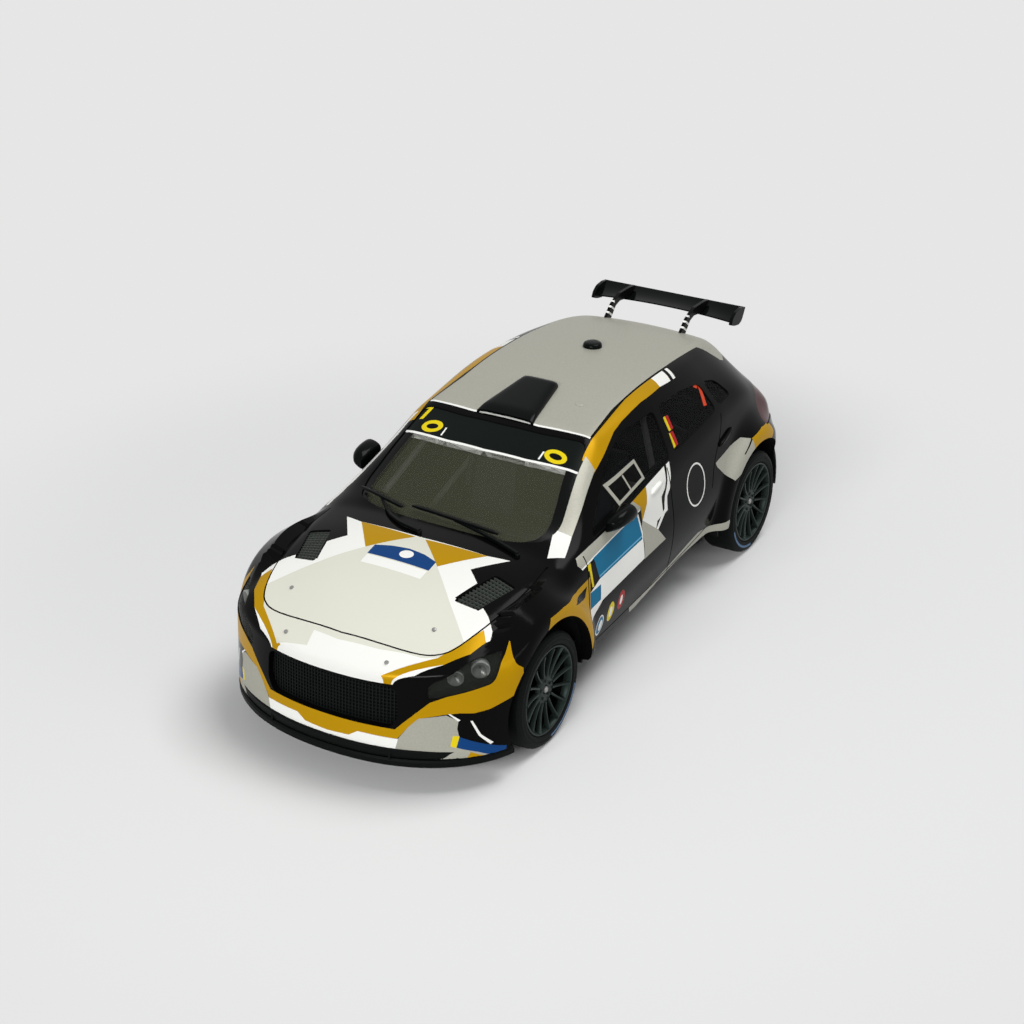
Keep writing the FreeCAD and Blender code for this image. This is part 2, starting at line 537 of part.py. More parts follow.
def wiper(blade, arm):
    """One wiper: a straight blade over the windscreen's foot and the arm that carries it, each from (x, y) to (x, y)."""
    def over(point, gap):
        x, y = point
        return Vec(x, y, surface_z(abs(x), y) + gap)
    rods = [rod([over(p, WIPER_W + 0.3) for p in blade], WIPER_W), rod([over(p, WIPER_W + 0.15) for p in arm], WIPER_W)]
    return single(rods[0].fuse(rods[1]).cut(form(-0.02)), "wiper")


# ---- wheels --------------------------------------------------------------------------------------------------------
def revolve_x(points, y):
    """A ring turned about the axle line at y from (x, radius) points."""
    face = Part.Face(Part.makePolygon([Vec(x, y, TYRE_R + r) for x, r in points + points[:1]]))
    return face.revolve(Vec(0, y, TYRE_R), X_AXIS, 360)


def tyre(y):
    """Low-profile slick with rounded shoulders."""
    outer, inner = TYRE_FACE_X, TYRE_FACE_X - TYRE_WIDTH
    bore = RIM_R + 0.02
    profile = [(inner + 0.4, bore), (inner, bore + 0.7), (inner + 0.15, TYRE_R - 0.55), (inner + 0.7, TYRE_R),
               (outer - 0.7, TYRE_R), (outer - 0.15, TYRE_R - 0.55), (outer, bore + 0.7), (outer - 0.4, bore)]
    return revolve_x(profile, y)


def rim(y):
    """Fifteen-spoke wheel: barrel, lip, spokes and the hub that is pressed on the axle."""
    face = TYRE_FACE_X - RIM_INSET
    inner = TYRE_FACE_X - TYRE_WIDTH + 0.4
    barrel = revolve_x([(inner, RIM_R - RIM_WALL), (inner, RIM_R), (face, RIM_R), (face, RIM_R - RIM_WALL)], y)
    hub = Part.makeCylinder(HUB_R, face - 0.25 - inner, Vec(inner, y, TYRE_R), X_AXIS)
    spokes = []
    for k in range(SPOKE_COUNT):
        spoke = box(face - 1.15, face - 0.35, -0.24, 0.24, HUB_R - 0.3, RIM_R - RIM_WALL + 0.2)
        spoke.rotate(Vec(0, 0, 0), X_AXIS, 360.0 * k / SPOKE_COUNT)
        spoke.translate(Vec(0, y, TYRE_R))
        spokes.append(spoke)
    wheel = barrel.multiFuse([hub] + spokes)
    seat = Part.makeCylinder(AXLE_R, face - 1.2 - inner, Vec(inner, y, TYRE_R), X_AXIS)
    return single(wheel.cut(seat), "rim")


def axle(y):
    end = TYRE_FACE_X - RIM_INSET - 1.2
    return Part.makeCylinder(AXLE_R, 2 * end, Vec(-end, y, TYRE_R), X_AXIS)


def export(name, shape):
    if not shape.isValid():
        print(f"{name} is not valid")
    shape.exportStep(os.path.join(PARTS, name + ".step"))


def main():
    os.makedirs(PARTS, exist_ok=True)
    outer = form()
    pieces = {"body_shell": body_shell(outer)}
    pieces.update(windows(outer))
    pieces.update(lamps_and_grilles())
    pieces["chassis_plate"] = chassis()
    pieces.update(cabin())
    pieces["front_splitter"] = splitter()
    pieces["rear_diffuser"] = rear_valance()
    pieces["roof_vent"] = roof_vent()
    pieces["roof_antenna"] = antenna()
    pieces.update(wing())
    pieces["mirror_left"] = mirror()
    pieces["mirror_right"] = flip(pieces["mirror_left"])
    pieces["wiper_left"] = wiper(*WIPERS["left"])
    pieces["wiper_right"] = wiper(*WIPERS["right"])
    for end, y in (("front", FRONT_AXLE_Y), ("rear", REAR_AXLE_Y)):
        pieces["axle_" + end] = axle(y)
        for side, turned in (("left", lambda s: s), ("right", flip)):
            pieces[f"tyre_{end}_{side}"] = turned(tyre(y))
            pieces[f"rim_{end}_{side}"] = turned(rim(y))
    for name, shape in pieces.items():
        export(name, shape)


main()
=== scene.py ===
"""Scale model of a rally car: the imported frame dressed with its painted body, windows, lamps, wheels and fittings.

Lengths in the tables are millimetres; +X is the car's left, -Y its front and +Z up. Meshes are written in metres.
"""
import math
from functools import reduce

import bpy
import numpy as np
from bpy.props import FloatProperty, FloatVectorProperty, IntProperty, PointerProperty
from mathutils import Matrix


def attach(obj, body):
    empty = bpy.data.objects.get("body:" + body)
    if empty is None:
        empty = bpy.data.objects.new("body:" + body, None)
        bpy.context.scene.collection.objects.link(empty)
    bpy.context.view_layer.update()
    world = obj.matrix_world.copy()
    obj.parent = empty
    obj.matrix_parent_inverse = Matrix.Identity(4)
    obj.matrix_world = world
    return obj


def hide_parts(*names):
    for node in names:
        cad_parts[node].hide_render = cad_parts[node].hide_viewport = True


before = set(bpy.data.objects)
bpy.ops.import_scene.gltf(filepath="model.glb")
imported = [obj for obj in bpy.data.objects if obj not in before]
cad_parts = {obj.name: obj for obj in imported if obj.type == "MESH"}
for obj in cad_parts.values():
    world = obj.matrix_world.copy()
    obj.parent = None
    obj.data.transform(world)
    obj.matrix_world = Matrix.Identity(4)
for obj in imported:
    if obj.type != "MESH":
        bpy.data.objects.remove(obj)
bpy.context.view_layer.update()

bl_info = {
    "name": "Rally Car Scale Model",
    "version": (1, 0, 0),
    "blender": (4, 5, 0),
    "location": "View3D > Sidebar > Rally Car",
    "description": "Builds the body, windows, wheels and fittings of a rally car scale model",
    "category": "Object",
}

MM = 0.001

# ---- body form -----------------------------------------------------------------------------------------------------
# One row per station: its place along the car, whether the lines break there, then height and half width of the sill,
# waist, belt, rail and roof lines and the height of the crown. Ahead of the screen the top lines run over the bonnet.
STATION_ROWS = (
    (-50.0, 0, 4.4, 19.4, 9.5, 20.3, 11.3, 19.9, 12.6, 15.2, 12.8, 9.2, 12.9),
    (-46.3, 1, 4.4, 19.4, 9.5, 20.3, 12.6, 19.8, 14.5, 15.2, 15.0, 9.2, 15.3),
    (-43.0, 0, 4.4, 19.4, 9.5, 20.3, 13.6, 19.6, 16.2, 15.4, 17.0, 9.6, 17.7),
    (-38.0, 0, 4.4, 19.3, 10.0, 20.2, 15.2, 19.4, 18.0, 16.0, 19.2, 10.6, 20.0),
    (-28.0, 0, 5.0, 19.0, 11.0, 20.1, 17.2, 19.3, 20.2, 16.6, 21.3, 12.6, 22.2),
    (-20.5, 1, 6.0, 18.7, 12.0, 20.1, 19.4, 19.2, 20.8, 17.4, 21.5, 15.2, 22.4),
    (-16.3, 0, 6.0, 18.7, 12.2, 20.1, 20.1, 19.1, 22.0, 16.8, 22.7, 14.8, 24.7),
    (-10.0, 0, 6.0, 18.7, 12.6, 20.1, 21.1, 18.9, 25.3, 15.5, 26.6, 13.6, 28.1),
    (-3.5, 1, 6.2, 18.7, 13.0, 20.1, 22.1, 18.7, 28.8, 14.3, 30.3, 12.4, 31.1),
    (12.0, 0, 8.1, 19.1, 13.5, 20.1, 23.8, 18.5, 30.2, 14.5, 31.6, 12.4, 32.4),
    (26.0, 0, 7.0, 18.9, 14.0, 20.1, 24.8, 18.1, 29.5, 13.9, 31.0, 11.8, 31.7),
    (34.5, 0, 5.2, 18.9, 14.5, 20.1, 24.5, 17.3, 28.0, 13.0, 29.9, 10.6, 30.5),
    (37.2, 1, 5.4, 18.8, 14.5, 20.0, 23.6, 16.9, 26.9, 12.8, 29.0, 10.2, 29.6),
    (43.2, 0, 5.6, 18.7, 13.0, 19.6, 18.8, 17.2, 20.4, 14.0, 21.0, 10.2, 21.4),
    (45.6, 0, 5.6, 18.6, 12.2, 19.3, 15.2, 17.6, 16.4, 14.6, 16.8, 10.6, 17.0),
    (46.2, 1, 5.6, 18.6, 11.5, 19.2, 13.0, 18.0, 13.4, 15.0, 13.5, 11.0, 13.6),
    (49.0, 0, 5.6, 18.4, 11.0, 19.0, 12.4, 18.0, 12.8, 15.0, 12.9, 11.0, 13.0),
)
FRONT_Y, REAR_Y, AXLE_Z = -27.9, 32.1, 7.6
FLARE_X, FLARE_FOOT_X, FLARE_ROOT_X = 21.1, 18.2, 17.4
FLARE_TOP_R, FLARE_LIP_R, FLARE_LOW_Z = 13.0, 10.9, 7.0
SIDE_X, ARCH_R = 21.3, 9.7
NOSE_Y, NOSE_LENGTH, NOSE_POWER, NOSE_LEAN = -31.4, 15.5, 2.17, 0.07
TAIL_Y, TAIL_LENGTH, TAIL_POWER = 33.2, 14.0, 2.5
SECTION_BLENDS = (1.0, 0.9, 0.8)      # at the waist, belt and rail
CROWN_BLEND, FLARE_BLEND, END_BLEND, SILL_BLEND = 0.7, 1.0, 0.8, 0.3
CORE_FRONT_Y, CORE_REAR_Y, CORE_Z = -33.5, 36.5, 11.2      # the line that rays to the skin start from
OPEN_Z = 10.0      # the shell has no floor below this
FAR = 60.0      # beyond the body in every view


def station_slopes(rows):
    """Slopes of every line just after and just before each station: the mean of the chords weighted to the nearer
    one, or each side's own chord where the lines break."""
    y, corner, values = rows[:, 0], rows[:, 1] > 0, rows[:, 2:]
    step = np.diff(y)[:, None]
    chord = np.diff(values, axis=0) / step
    after, before = np.vstack([chord, chord[-1:]]), np.vstack([chord[:1], chord])
    mean = (chord[:-1] * step[1:] + chord[1:] * step[:-1]) / (step[1:] + step[:-1])
    free = ~corner[1:-1]
    after[1:-1][free] = mean[free]
    before[1:-1][free] = mean[free]
    return y, step, values, after, before


STATIONS = station_slopes(np.array(STATION_ROWS))


def line_table(spacing=0.05, soft=0.9):
    """The eleven lines sampled finely along the car: cubic Hermite between stations, then a five-tap mean that
    reaches soft to each side."""
    y, step, values, after, before = STATIONS
    places = np.arange(y[0], y[-1], spacing)

    def at(p):
        """Values of the lines at places along the car."""
        p = np.clip(p, y[0], y[-1] - 1e-6)
        i = np.searchsorted(y, p, side="right") - 1
        h, t = step[i], ((p - y[i]) / step[i, 0])[:, None]
        return (values[i] * (1 + 2 * t) * (1 - t) ** 2 + values[i + 1] * t * t * (3 - 2 * t)
                + h * (after[i] * t * (1 - t) ** 2 - before[i + 1] * t * t * (1 - t)))

    taps = ((-1, 0.15), (-0.5, 0.2), (0, 0.3), (0.5, 0.2), (1, 0.15))
    return places, sum(w * at(places + k * soft) for k, w in taps)


LINE_Y, LINE_VALUES = line_table()


def body_lines(y):
    """The eleven lines at y, read from the fine table by straight interpolation."""
    place = (np.clip(y, LINE_Y[0], LINE_Y[-1] - 1e-6) - LINE_Y[0]) / (LINE_Y[1] - LINE_Y[0])
    i = np.minimum(place.astype(int), len(LINE_Y) - 2)
    t = (place - i)[..., None]
    return np.moveaxis(LINE_VALUES[i] * (1 - t) + LINE_VALUES[i + 1] * t, -1, 0)


def smooth_max(a, b, k):
    """The larger of a and b, blended over k: max(a, b) + max(k - |a - b|, 0)^2 / 4k."""
    return np.maximum(a, b) + np.maximum(k - np.abs(a - b), 0) ** 2 / (4 * k)


def beyond_edge(px, pz, x0, z0, x1, z1):
    """Signed distance of (px, pz) outside the straight line from (x0, z0) up to (x1, z1)."""
    dx, dz = x1 - x0, z1 - z0
    return ((px - x0) * dz - (pz - z0) * dx) / np.sqrt(dx * dx + dz * dz)


def body_field(x, y, z):
    """Roughly the distance outside the body, negative inside. The section is the blended maximum of the distances
    from its four side lines and its parabolic crown; four blended cones add the wheel-arch flares; superellipses in
    plan round off the nose and tail; and the sill line closes it below. Slopes bring each term near to a distance."""
    x = np.abs(x)
    sz, sx, wz, wx, bz, bx, rz, rx, fz, fx, cz = body_lines(y)
    edges = ((sx, sz), (wx, wz), (bx, bz), (rx, rz), (fx, fz))
    f, *others = [beyond_edge(x, z, *low, *high) for low, high in zip(edges, edges[1:])]
    for side, blend in zip(others, SECTION_BLENDS):
        f = smooth_max(f, side, blend)
    f = smooth_max(f, (z - cz + (cz - fz) * (x / fx) ** 2) * 0.985, CROWN_BLEND)
    for axle in (FRONT_Y, REAR_Y):
        reach = np.hypot(y - axle, z - AXLE_Z)
        lip = FLARE_TOP_R + (FLARE_LIP_R - FLARE_TOP_R) * (x - FLARE_FOOT_X) / (FLARE_X - FLARE_FOOT_X)
        flare = smooth_max((reach - lip) * 0.81, x - FLARE_X, 0.9)
        low = (FLARE_LOW_Z - z) * 0.5
        if axle == FRONT_Y:
            low = np.where(y > axle, low, -9.0)
        flare = smooth_max(smooth_max(flare, low, FLARE_BLEND), FLARE_ROOT_X - x, 0.5)
        f = -smooth_max(-f, -flare, FLARE_BLEND)
    leaning = y - NOSE_LEAN * (z - 9.0) * (y < 0)
    nose, tail = (((x / SIDE_X) ** power + (np.maximum(past, 0) / length) ** power) ** (1 / power)
                  for past, length, power in ((NOSE_Y - leaning, NOSE_LENGTH, NOSE_POWER),
                                              (leaning - TAIL_Y, TAIL_LENGTH, TAIL_POWER)))
    f = smooth_max(f, np.maximum((nose - 1) * 16.0, (tail - 1) * 15.0), END_BLEND)
    return smooth_max(f, sz - z, SILL_BLEND)


def slope(points, reach=0.02):
    """Outward unit normals of the body field at the points, from central differences."""
    parts = []
    for axis in range(3):
        step = np.zeros(3)
        step[axis] = reach
        parts.append(body_field(*np.moveaxis(points + step, -1, 0)) - body_field(*np.moveaxis(points - step, -1, 0)))
    n = np.stack(parts, -1)
    return n / np.maximum(np.linalg.norm(n, axis=-1, keepdims=True), 1e-9)


# ---- mesh kit ------------------------------------------------------------------------------------------------------
def quads(rows, cols, wrap_rows=False, wrap_cols=False):
    """Quads of a rows x cols grid of vertices, joined round where it wraps."""
    i = np.arange(rows if wrap_rows else rows - 1)[:, None]
    j = np.arange(cols if wrap_cols else cols - 1)[None, :]
    i2, j2 = (i + 1) % rows, (j + 1) % cols
    corners = np.broadcast_arrays(i * cols + j, i * cols + j2, i2 * cols + j2, i2 * cols + j)
    return np.stack(corners, -1).reshape(-1, 4)


def signed_volume(verts, faces):
    """Six times the volume inside the faces, positive when they point outwards."""
    total = 0.0
    for size in {len(f) for f in faces}:
        ring = verts[np.array([f for f in faces if len(f) == size])]
        for k in range(1, size - 1):
            total += np.einsum("ij,ij->", ring[:, 0], np.cross(ring[:, k], ring[:, k + 1]))
    return total


def closed(verts, faces):
    """(vertices, faces) of a closed solid with its faces turned outwards."""
    verts = np.asarray(verts, float)
    faces = [list(map(int, f)) for f in faces]
    if signed_volume(verts, faces) < 0:
        faces = [f[::-1] for f in faces]
    return verts, faces


def join(*solids):
    """Several solids as one list of vertices and faces."""
    verts, faces, base = [], [], 0
    for v, f in solids:
        verts.append(v)
        faces += [[i + base for i in face] for face in f]
        base += len(v)
    return np.vstack(verts), faces


def flip(solid):
    """The same solid on the car's other side."""
    v, f = solid
    return v * np.array([-1, 1, 1]), [face[::-1] for face in f]


def both(solid):
    """The solid and its mirror image."""
    return join(solid, flip(solid))


SIDES = (("left", lambda solid: solid), ("right", flip))


def tube(rings, ring=False):
    """Closed solid through rings of equal size, an array (rings, points, 3). As a ring, its last joins its first."""
    n, m = rings.shape[:2]
    faces = quads(n, m, ring, True).tolist()
    if not ring:
        faces += [list(range(m))[::-1], list(range((n - 1) * m, n * m))]
    return closed(rings.reshape(-1, 3), faces)


def rounded(points, radius, steps=6):
    """Outline with its corners rounded by quadratic curves that leave each side radius before the corner."""
    p = np.asarray(points, float)
    back, ahead = np.roll(p, 1, 0) - p, np.roll(p, -1, 0) - p
    lb, la = np.linalg.norm(back, axis=1)[:, None], np.linalg.norm(ahead, axis=1)[:, None]
    back, ahead = back / lb * np.minimum(radius, lb * 0.45), ahead / la * np.minimum(radius, la * 0.45)
    t = np.linspace(0, 1, steps)[None, :, None]
    return (p[:, None] + (1 - t) ** 2 * back[:, None] + t ** 2 * ahead[:, None]).reshape(-1, 2)


def offset_outline(points, by):
    """Outline moved inward by a distance, for a closed outline of short sides."""
    p = np.asarray(points, float)
    side = np.roll(p, -1, 0) - np.roll(p, 1, 0)
    side /= np.maximum(np.linalg.norm(side, axis=1, keepdims=True), 1e-9)
    area = np.sum(p[:, 0] * np.roll(p[:, 1], -1) - np.roll(p[:, 0], -1) * p[:, 1])
    return p + np.sign(area) * by * np.stack([-side[:, 1], side[:, 0]], 1)


AXES = {"x": ((0, 1, 0), (0, 0, 1), (1, 0, 0)), "y": ((1, 0, 0), (0, 0, 1), (0, 1, 0)),
        "z": ((1, 0, 0), (0, 1, 0), (0, 0, 1))}


def prism(outline, along, low, high):
    """Straight prism on a flat outline, along an axis name or a frame of three directions (across, up, along)."""
    a, b, c = (np.array(d, float) for d in (AXES[along] if isinstance(along, str) else along))
    p = np.asarray(outline, float)
    flat = p[:, :1] * a + p[:, 1:] * b
    return tube(np.stack([flat + c * low, flat + c * high]))


def rectangle(width, height):
    """Outline of a rectangle about its middle."""
    w, h = width / 2, height / 2
    return [(-w, -h), (w, -h), (w, h), (-w, h)]


def mirrored(points):
    """Closed outline from its half: points run from the middle line outward and back to it."""
    return list(points) + [(-a, b) for a, b in reversed(points) if abs(a) > 1e-9]


def lathe(profile, y, steps):
    """Solid turned about the axle line at y: profile points (x, radius) swept round as (x, y + r sin, z + r cos)."""
    p = np.asarray(profile, float)
    t = np.linspace(0, 2 * math.pi, steps, endpoint=False)[:, None]
    x = np.broadcast_to(p[:, 0], (steps, len(p)))
    return tube(np.stack([x, y + p[:, 1] * np.sin(t), AXLE_Z + p[:, 1] * np.cos(t)], -1), ring=True)


def along_path(path, section, up=(0, 0, 1), scale=None):
    """Closed bar: a flat section (across, up) carried along a path and kept square to it by an up direction."""
    path = np.asarray(path, float)
    t = np.gradient(path, axis=0)
    t /= np.linalg.norm(t, axis=1, keepdims=True)
    up = np.broadcast_to(np.asarray(up, float), path.shape)
    side = np.cross(t, up)
    side /= np.linalg.norm(side, axis=1, keepdims=True)
    top = np.cross(side, t)
    s = np.asarray(section, float)
    s = s[None] * (np.ones(len(path)) if scale is None else np.asarray(scale, float))[:, None, None]
    return tube(path[:, None] + side[:, None] * s[..., :1] + top[:, None] * s[..., 1:])


def circle(radius, steps):
    """Points round a circle, from its right side."""
    t = np.linspace(0, 2 * math.pi, steps, endpoint=False)
    return np.stack([radius * np.cos(t), radius * np.sin(t)], 1)


def smooth_path(points, count, passes=1):
    """Points spread evenly along a polyline whose corners are cut off, repeatedly, a quarter of the way along."""
    p = np.asarray(points, float)
    for _ in range(passes):
        a, b = p[:-1], p[1:]
        cuts = np.stack([a * 0.75 + b * 0.25, a * 0.25 + b * 0.75], 1).reshape(-1, p.shape[1])
        p = np.vstack([p[:1], cuts[1:-1], p[-1:]])
    d = np.concatenate([[0], np.cumsum(np.linalg.norm(np.diff(p, axis=0), axis=1))])
    q = np.linspace(0, d[-1], count)
    return np.stack([np.interp(q, d, column) for column in p.T], 1)


# ---- the skin of the body ------------------------------------------------------------------------------------------
def crossing(start, ray, inside, outside, inset, halvings):
    """Where rays cross the surface of field -inset, by bisection between a distance inside it and one outside."""
    for _ in range(halvings):
        middle = (inside + outside) / 2
        out = body_field(*(start + ray * middle[:, None]).T) > -inset
        inside, outside = np.where(out, inside, middle), np.where(out, middle, outside)
    return start + ray * ((inside + outside) / 2)[:, None]


def skin(inset, rows=120, cols=130, low_share=0.2):
    """Closed surface where the body field equals -inset. Rays leave the car's long axis square to it, and fan out
    round its two ends to one pole each. Fewer rays point down."""
    fan = rows // 6
    straight = rows - 2 * fan
    y = np.concatenate([np.full(fan, CORE_FRONT_Y), np.linspace(CORE_FRONT_Y, CORE_REAR_Y, straight + 2)[1:-1],
                        np.full(fan, CORE_REAR_Y)])
    tilt = np.concatenate([np.linspace(-math.pi / 2, 0, fan + 1)[1:], np.zeros(straight),
                           np.linspace(0, math.pi / 2, fan + 1)[:-1]])
    fine = np.linspace(-math.pi / 2, math.pi / 2, 2001)
    weight = np.where(fine < -0.45, low_share, 1.0)
    share = np.concatenate([[0], np.cumsum((weight[1:] + weight[:-1]) / 2)])
    half = np.interp(np.linspace(0, share[-1], cols // 2 + 1), share, fine)
    turn = np.concatenate([half, math.pi - half[-2:0:-1]])
    centre = np.zeros((rows, len(turn), 3))
    centre[..., 1] = y[:, None]
    centre[..., 2] = CORE_Z
    ray = np.stack([np.cos(tilt)[:, None] * np.cos(turn), np.broadcast_to(np.sin(tilt)[:, None], centre.shape[:2]),
                    np.cos(tilt)[:, None] * np.sin(turn)], -1)
    start = np.vstack([centre.reshape(-1, 3), [[0, CORE_FRONT_Y, CORE_Z], [0, CORE_REAR_Y, CORE_Z]]])
    ray = np.vstack([ray.reshape(-1, 3), [[0, -1.0, 0], [0, 1.0, 0]]])
    verts = crossing(start, ray, np.zeros(len(start)), np.full(len(start), 45.0), inset, 24)
    n, m = rows, len(turn)
    k, j = np.arange(m), (np.arange(m) + 1) % m
    caps = [np.stack([np.full(m, n * m), j, k], 1),
            np.stack([np.full(m, n * m + 1), (n - 1) * m + k, (n - 1) * m + j], 1)]
    return closed(verts, quads(n, m, wrap_cols=True).tolist() + np.vstack(caps).tolist())


VIEWS = {"left": ((1, 2), 0, 1), "top": ((0, 1), 2, 1), "front": ((0, 2), 1, -1), "back": ((0, 2), 1, 1)}


def onto_body(points, view, inset=0.0):
    """Points of a flat path dropped onto the body along a view: the first crossing from outside is bracketed by even
    steps and closed by bisection."""
    p = np.asarray(points, float)
    keep, axis, sign = VIEWS[view]
    origin, ray = np.zeros((len(p), 3)), np.zeros(3)
    origin[:, keep] = p
    origin[:, axis] = sign * FAR
    ray[axis] = -sign
    steps = np.linspace(0, FAR, 240)
    f = np.stack([body_field(*(origin + ray * step).T) + inset for step in steps])
    k = ((f[:-1] > 0) & (f[1:] <= 0)).argmax(0)
    return crossing(origin, ray, steps[k + 1], steps[k], inset, 22)


def groove(points, view, width, depth):
    """Cutter for a shut line: a small rectangle carried along the path on the body, half sunk in it."""
    path = onto_body(smooth_path(points, 60, 2), view)
    n = slope(path)
    t = np.gradient(path, axis=0)
    t /= np.linalg.norm(t, axis=1, keepdims=True)
    side = np.cross(t, n)
    side /= np.linalg.norm(side, axis=1, keepdims=True)
    corners = np.array(rectangle(width, 2 * depth))
    return tube(path[:, None] + side[:, None] * corners[None, :, :1] + n[:, None] * corners[None, :, 1:])


# ---- Blender kit ---------------------------------------------------------------------------------------------------
def to_mesh(name, solid):
    """Blender mesh of a solid."""
    mesh = bpy.data.meshes.new(name)
    mesh.from_pydata(solid[0].tolist(), [], solid[1])
    mesh.update()
    return mesh


def two_slots(mesh):
    """Two material slots, so that booleans keep both indices."""
    for _ in range(2 - len(mesh.materials)):
        mesh.materials.append(None)


def carve(base, *cutters, operation="DIFFERENCE"):
    """A solid less its cutters, or its part inside them. Faces that a cutter leaves take the second material. Raises
    an error when nothing is left."""
    mesh = base if isinstance(base, bpy.types.Mesh) else to_mesh("base", base)
    two_slots(mesh)
    for cutter in cutters:
        tool_mesh = to_mesh("cutter", cutter)
        two_slots(tool_mesh)
        if operation == "DIFFERENCE":
            tool_mesh.polygons.foreach_set("material_index", np.ones(len(tool_mesh.polygons), np.int32))
        work, tool = bpy.data.objects.new("work", mesh), bpy.data.objects.new("tool", tool_mesh)
        for obj in (work, tool):
            bpy.context.scene.collection.objects.link(obj)
        cut = work.modifiers.new("cut", "BOOLEAN")
        cut.operation, cut.object, cut.solver = operation, tool, "MANIFOLD"
        bpy.context.view_layer.update()
        mesh = bpy.data.meshes.new_from_object(work.evaluated_get(bpy.context.evaluated_depsgraph_get()))
        for obj in (work, tool):
            bpy.data.objects.remove(obj)
        if len(mesh.polygons) == 0:
            raise RuntimeError("a boolean step left nothing")
    return mesh


def common(base, solid):
    """The part of a solid or mesh inside another solid; the base is kept."""
    return carve(base.copy() if isinstance(base, bpy.types.Mesh) else base, solid, operation="INTERSECT")


def read_back(*meshes):
    """Several meshes as one solid."""
    solids = []
    for mesh in meshes:
        place = np.empty(len(mesh.vertices) * 3)
        mesh.vertices.foreach_get("co", place)
        solids.append((place.reshape(-1, 3), [list(p.vertices) for p in mesh.polygons]))
    return join(*solids)


def piece(name, shape, finishes, node="", angle=32.0, body="chassis"):
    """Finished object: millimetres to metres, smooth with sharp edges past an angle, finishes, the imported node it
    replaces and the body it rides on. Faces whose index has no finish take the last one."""
    mesh = shape if isinstance(shape, bpy.types.Mesh) else to_mesh(name, shape)
    mesh.name = name
    place = np.empty(len(mesh.vertices) * 3)
    mesh.vertices.foreach_get("co", place)
    mesh.vertices.foreach_set("co", place * MM)
    mesh.polygons.foreach_set("use_smooth", np.ones(len(mesh.polygons), bool))
    mesh.update()
    mesh.set_sharp_from_angle(angle=math.radians(angle))
    indices = np.empty(len(mesh.polygons), np.int32)
    mesh.polygons.foreach_get("material_index", indices)
    names = (finishes,) if isinstance(finishes, str) else finishes
    mesh.materials.clear()
    for finish_name in names:
        mesh.materials.append(use(finish_name))
    mesh.polygons.foreach_set("material_index", np.minimum(indices, len(names) - 1))
    obj = bpy.data.objects.new(name, mesh)
    bpy.context.scene.collection.objects.link(obj)
    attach(obj, body)
    if node:
        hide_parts(node)


# ---- material kit --------------------------------------------------------------------------------------------------
def feed(tree, socket, value):
    """Link an input to an output, or set its constant."""
    if isinstance(value, bpy.types.NodeSocket):
        tree.links.new(value, socket)
    else:
        socket.default_value = value


def put(tree, kind, *inputs, out=0, **settings):
    """New node of a kind, its settings made and its inputs linked or given in order; returns an output socket."""
    node = tree.nodes.new("ShaderNode" + kind)
    for key, value in settings.items():
        setattr(node, key, value)
    for index, value in enumerate(inputs):
        feed(tree, node.inputs[index], value)
    return node.outputs[out]


def maths(tree, operation, *inputs):
    """Output of a Math node."""
    return put(tree, "Math", *inputs, operation=operation)


def mix(tree, kind, first, out, factor, a, b):
    """Output of a Mix node of a kind, whose pair of inputs starts at an index."""
    node = tree.nodes.new("ShaderNodeMix")
    node.data_type = kind
    for index, value in ((0, factor), (first, a), (first + 1, b)):
        feed(tree, node.inputs[index], value)
    return node.outputs[out]


def blend_colour(tree, factor, a, b):
    """Colour a, turning into b as the factor rises."""
    return mix(tree, "RGBA", 6, 2, factor, a, b)


def blend_value(tree, factor, a, b):
    """Number a, turning into b as the factor rises."""
    return mix(tree, "FLOAT", 2, 0, factor, a, b)


def scaled(tree, rgba, factor):
    """A colour times a factor."""
    node = tree.nodes.new("ShaderNodeVectorMath")
    node.operation = "SCALE"
    feed(tree, node.inputs[0], tuple(rgba[:3]))
    feed(tree, node.inputs["Scale"], factor)
    return node.outputs[0]


def finish(name, **sockets):
    """Material with a Principled shader and its constants by socket; returns (material, tree, shader)."""
    material = bpy.data.materials.new(name)
    material.use_nodes = True
    shader = material.node_tree.nodes["Principled BSDF"]
    shader.inputs["Specular IOR Level"].default_value = DARK_SPECULAR
    for key, value in sockets.items():
        shader.inputs[key.replace("_", " ")].default_value = value
    return material, material.node_tree, shader


def noise(tree, scale, detail=2.0):
    """Noise on object coordinates."""
    node = tree.nodes.new("ShaderNodeTexNoise")
    for name, value in (("Vector", put(tree, "TexCoord", out=3)), ("Scale", scale), ("Detail", detail)):
        feed(tree, node.inputs[name], value)
    return node.outputs["Fac"]


def grain(tree, shader, scale, strength, distance):
    """Fine surface grain: noise through a bump node. Returns the noise."""
    height = noise(tree, scale)
    bump = tree.nodes.new("ShaderNodeBump")
    for name, value in (("Strength", strength), ("Distance", distance), ("Height", height)):
        feed(tree, bump.inputs[name], value)
    tree.links.new(bump.outputs["Normal"], shader.inputs["Normal"])
    return height


def colour(r, g, b):
    """Linear RGBA of an sRGB colour given as 0-255."""
    c = np.array([r, g, b]) / 255.0
    return tuple(np.where(c <= 0.04045, c / 12.92, ((c + 0.055) / 1.055) ** 2.4).tolist()) + (1.0,)


DARK_SPECULAR = 0.06      # low, so that the pale backdrop's reflection leaves dark finishes dark


# ---- sizes and colours a user may change ---------------------------------------------------------------------------
def length(name, description, millimetres):
    """Length setting, given in millimetres."""
    return FloatProperty(name=name, description=description, default=millimetres * MM, min=0.0, unit="LENGTH",
                         precision=5)


def shade(name, description, r, g, b):
    """Colour setting, given as sRGB 0-255."""
    return FloatVectorProperty(name=name, description=description, default=colour(r, g, b), size=4,
                               subtype="COLOR", min=0.0, max=1.0)


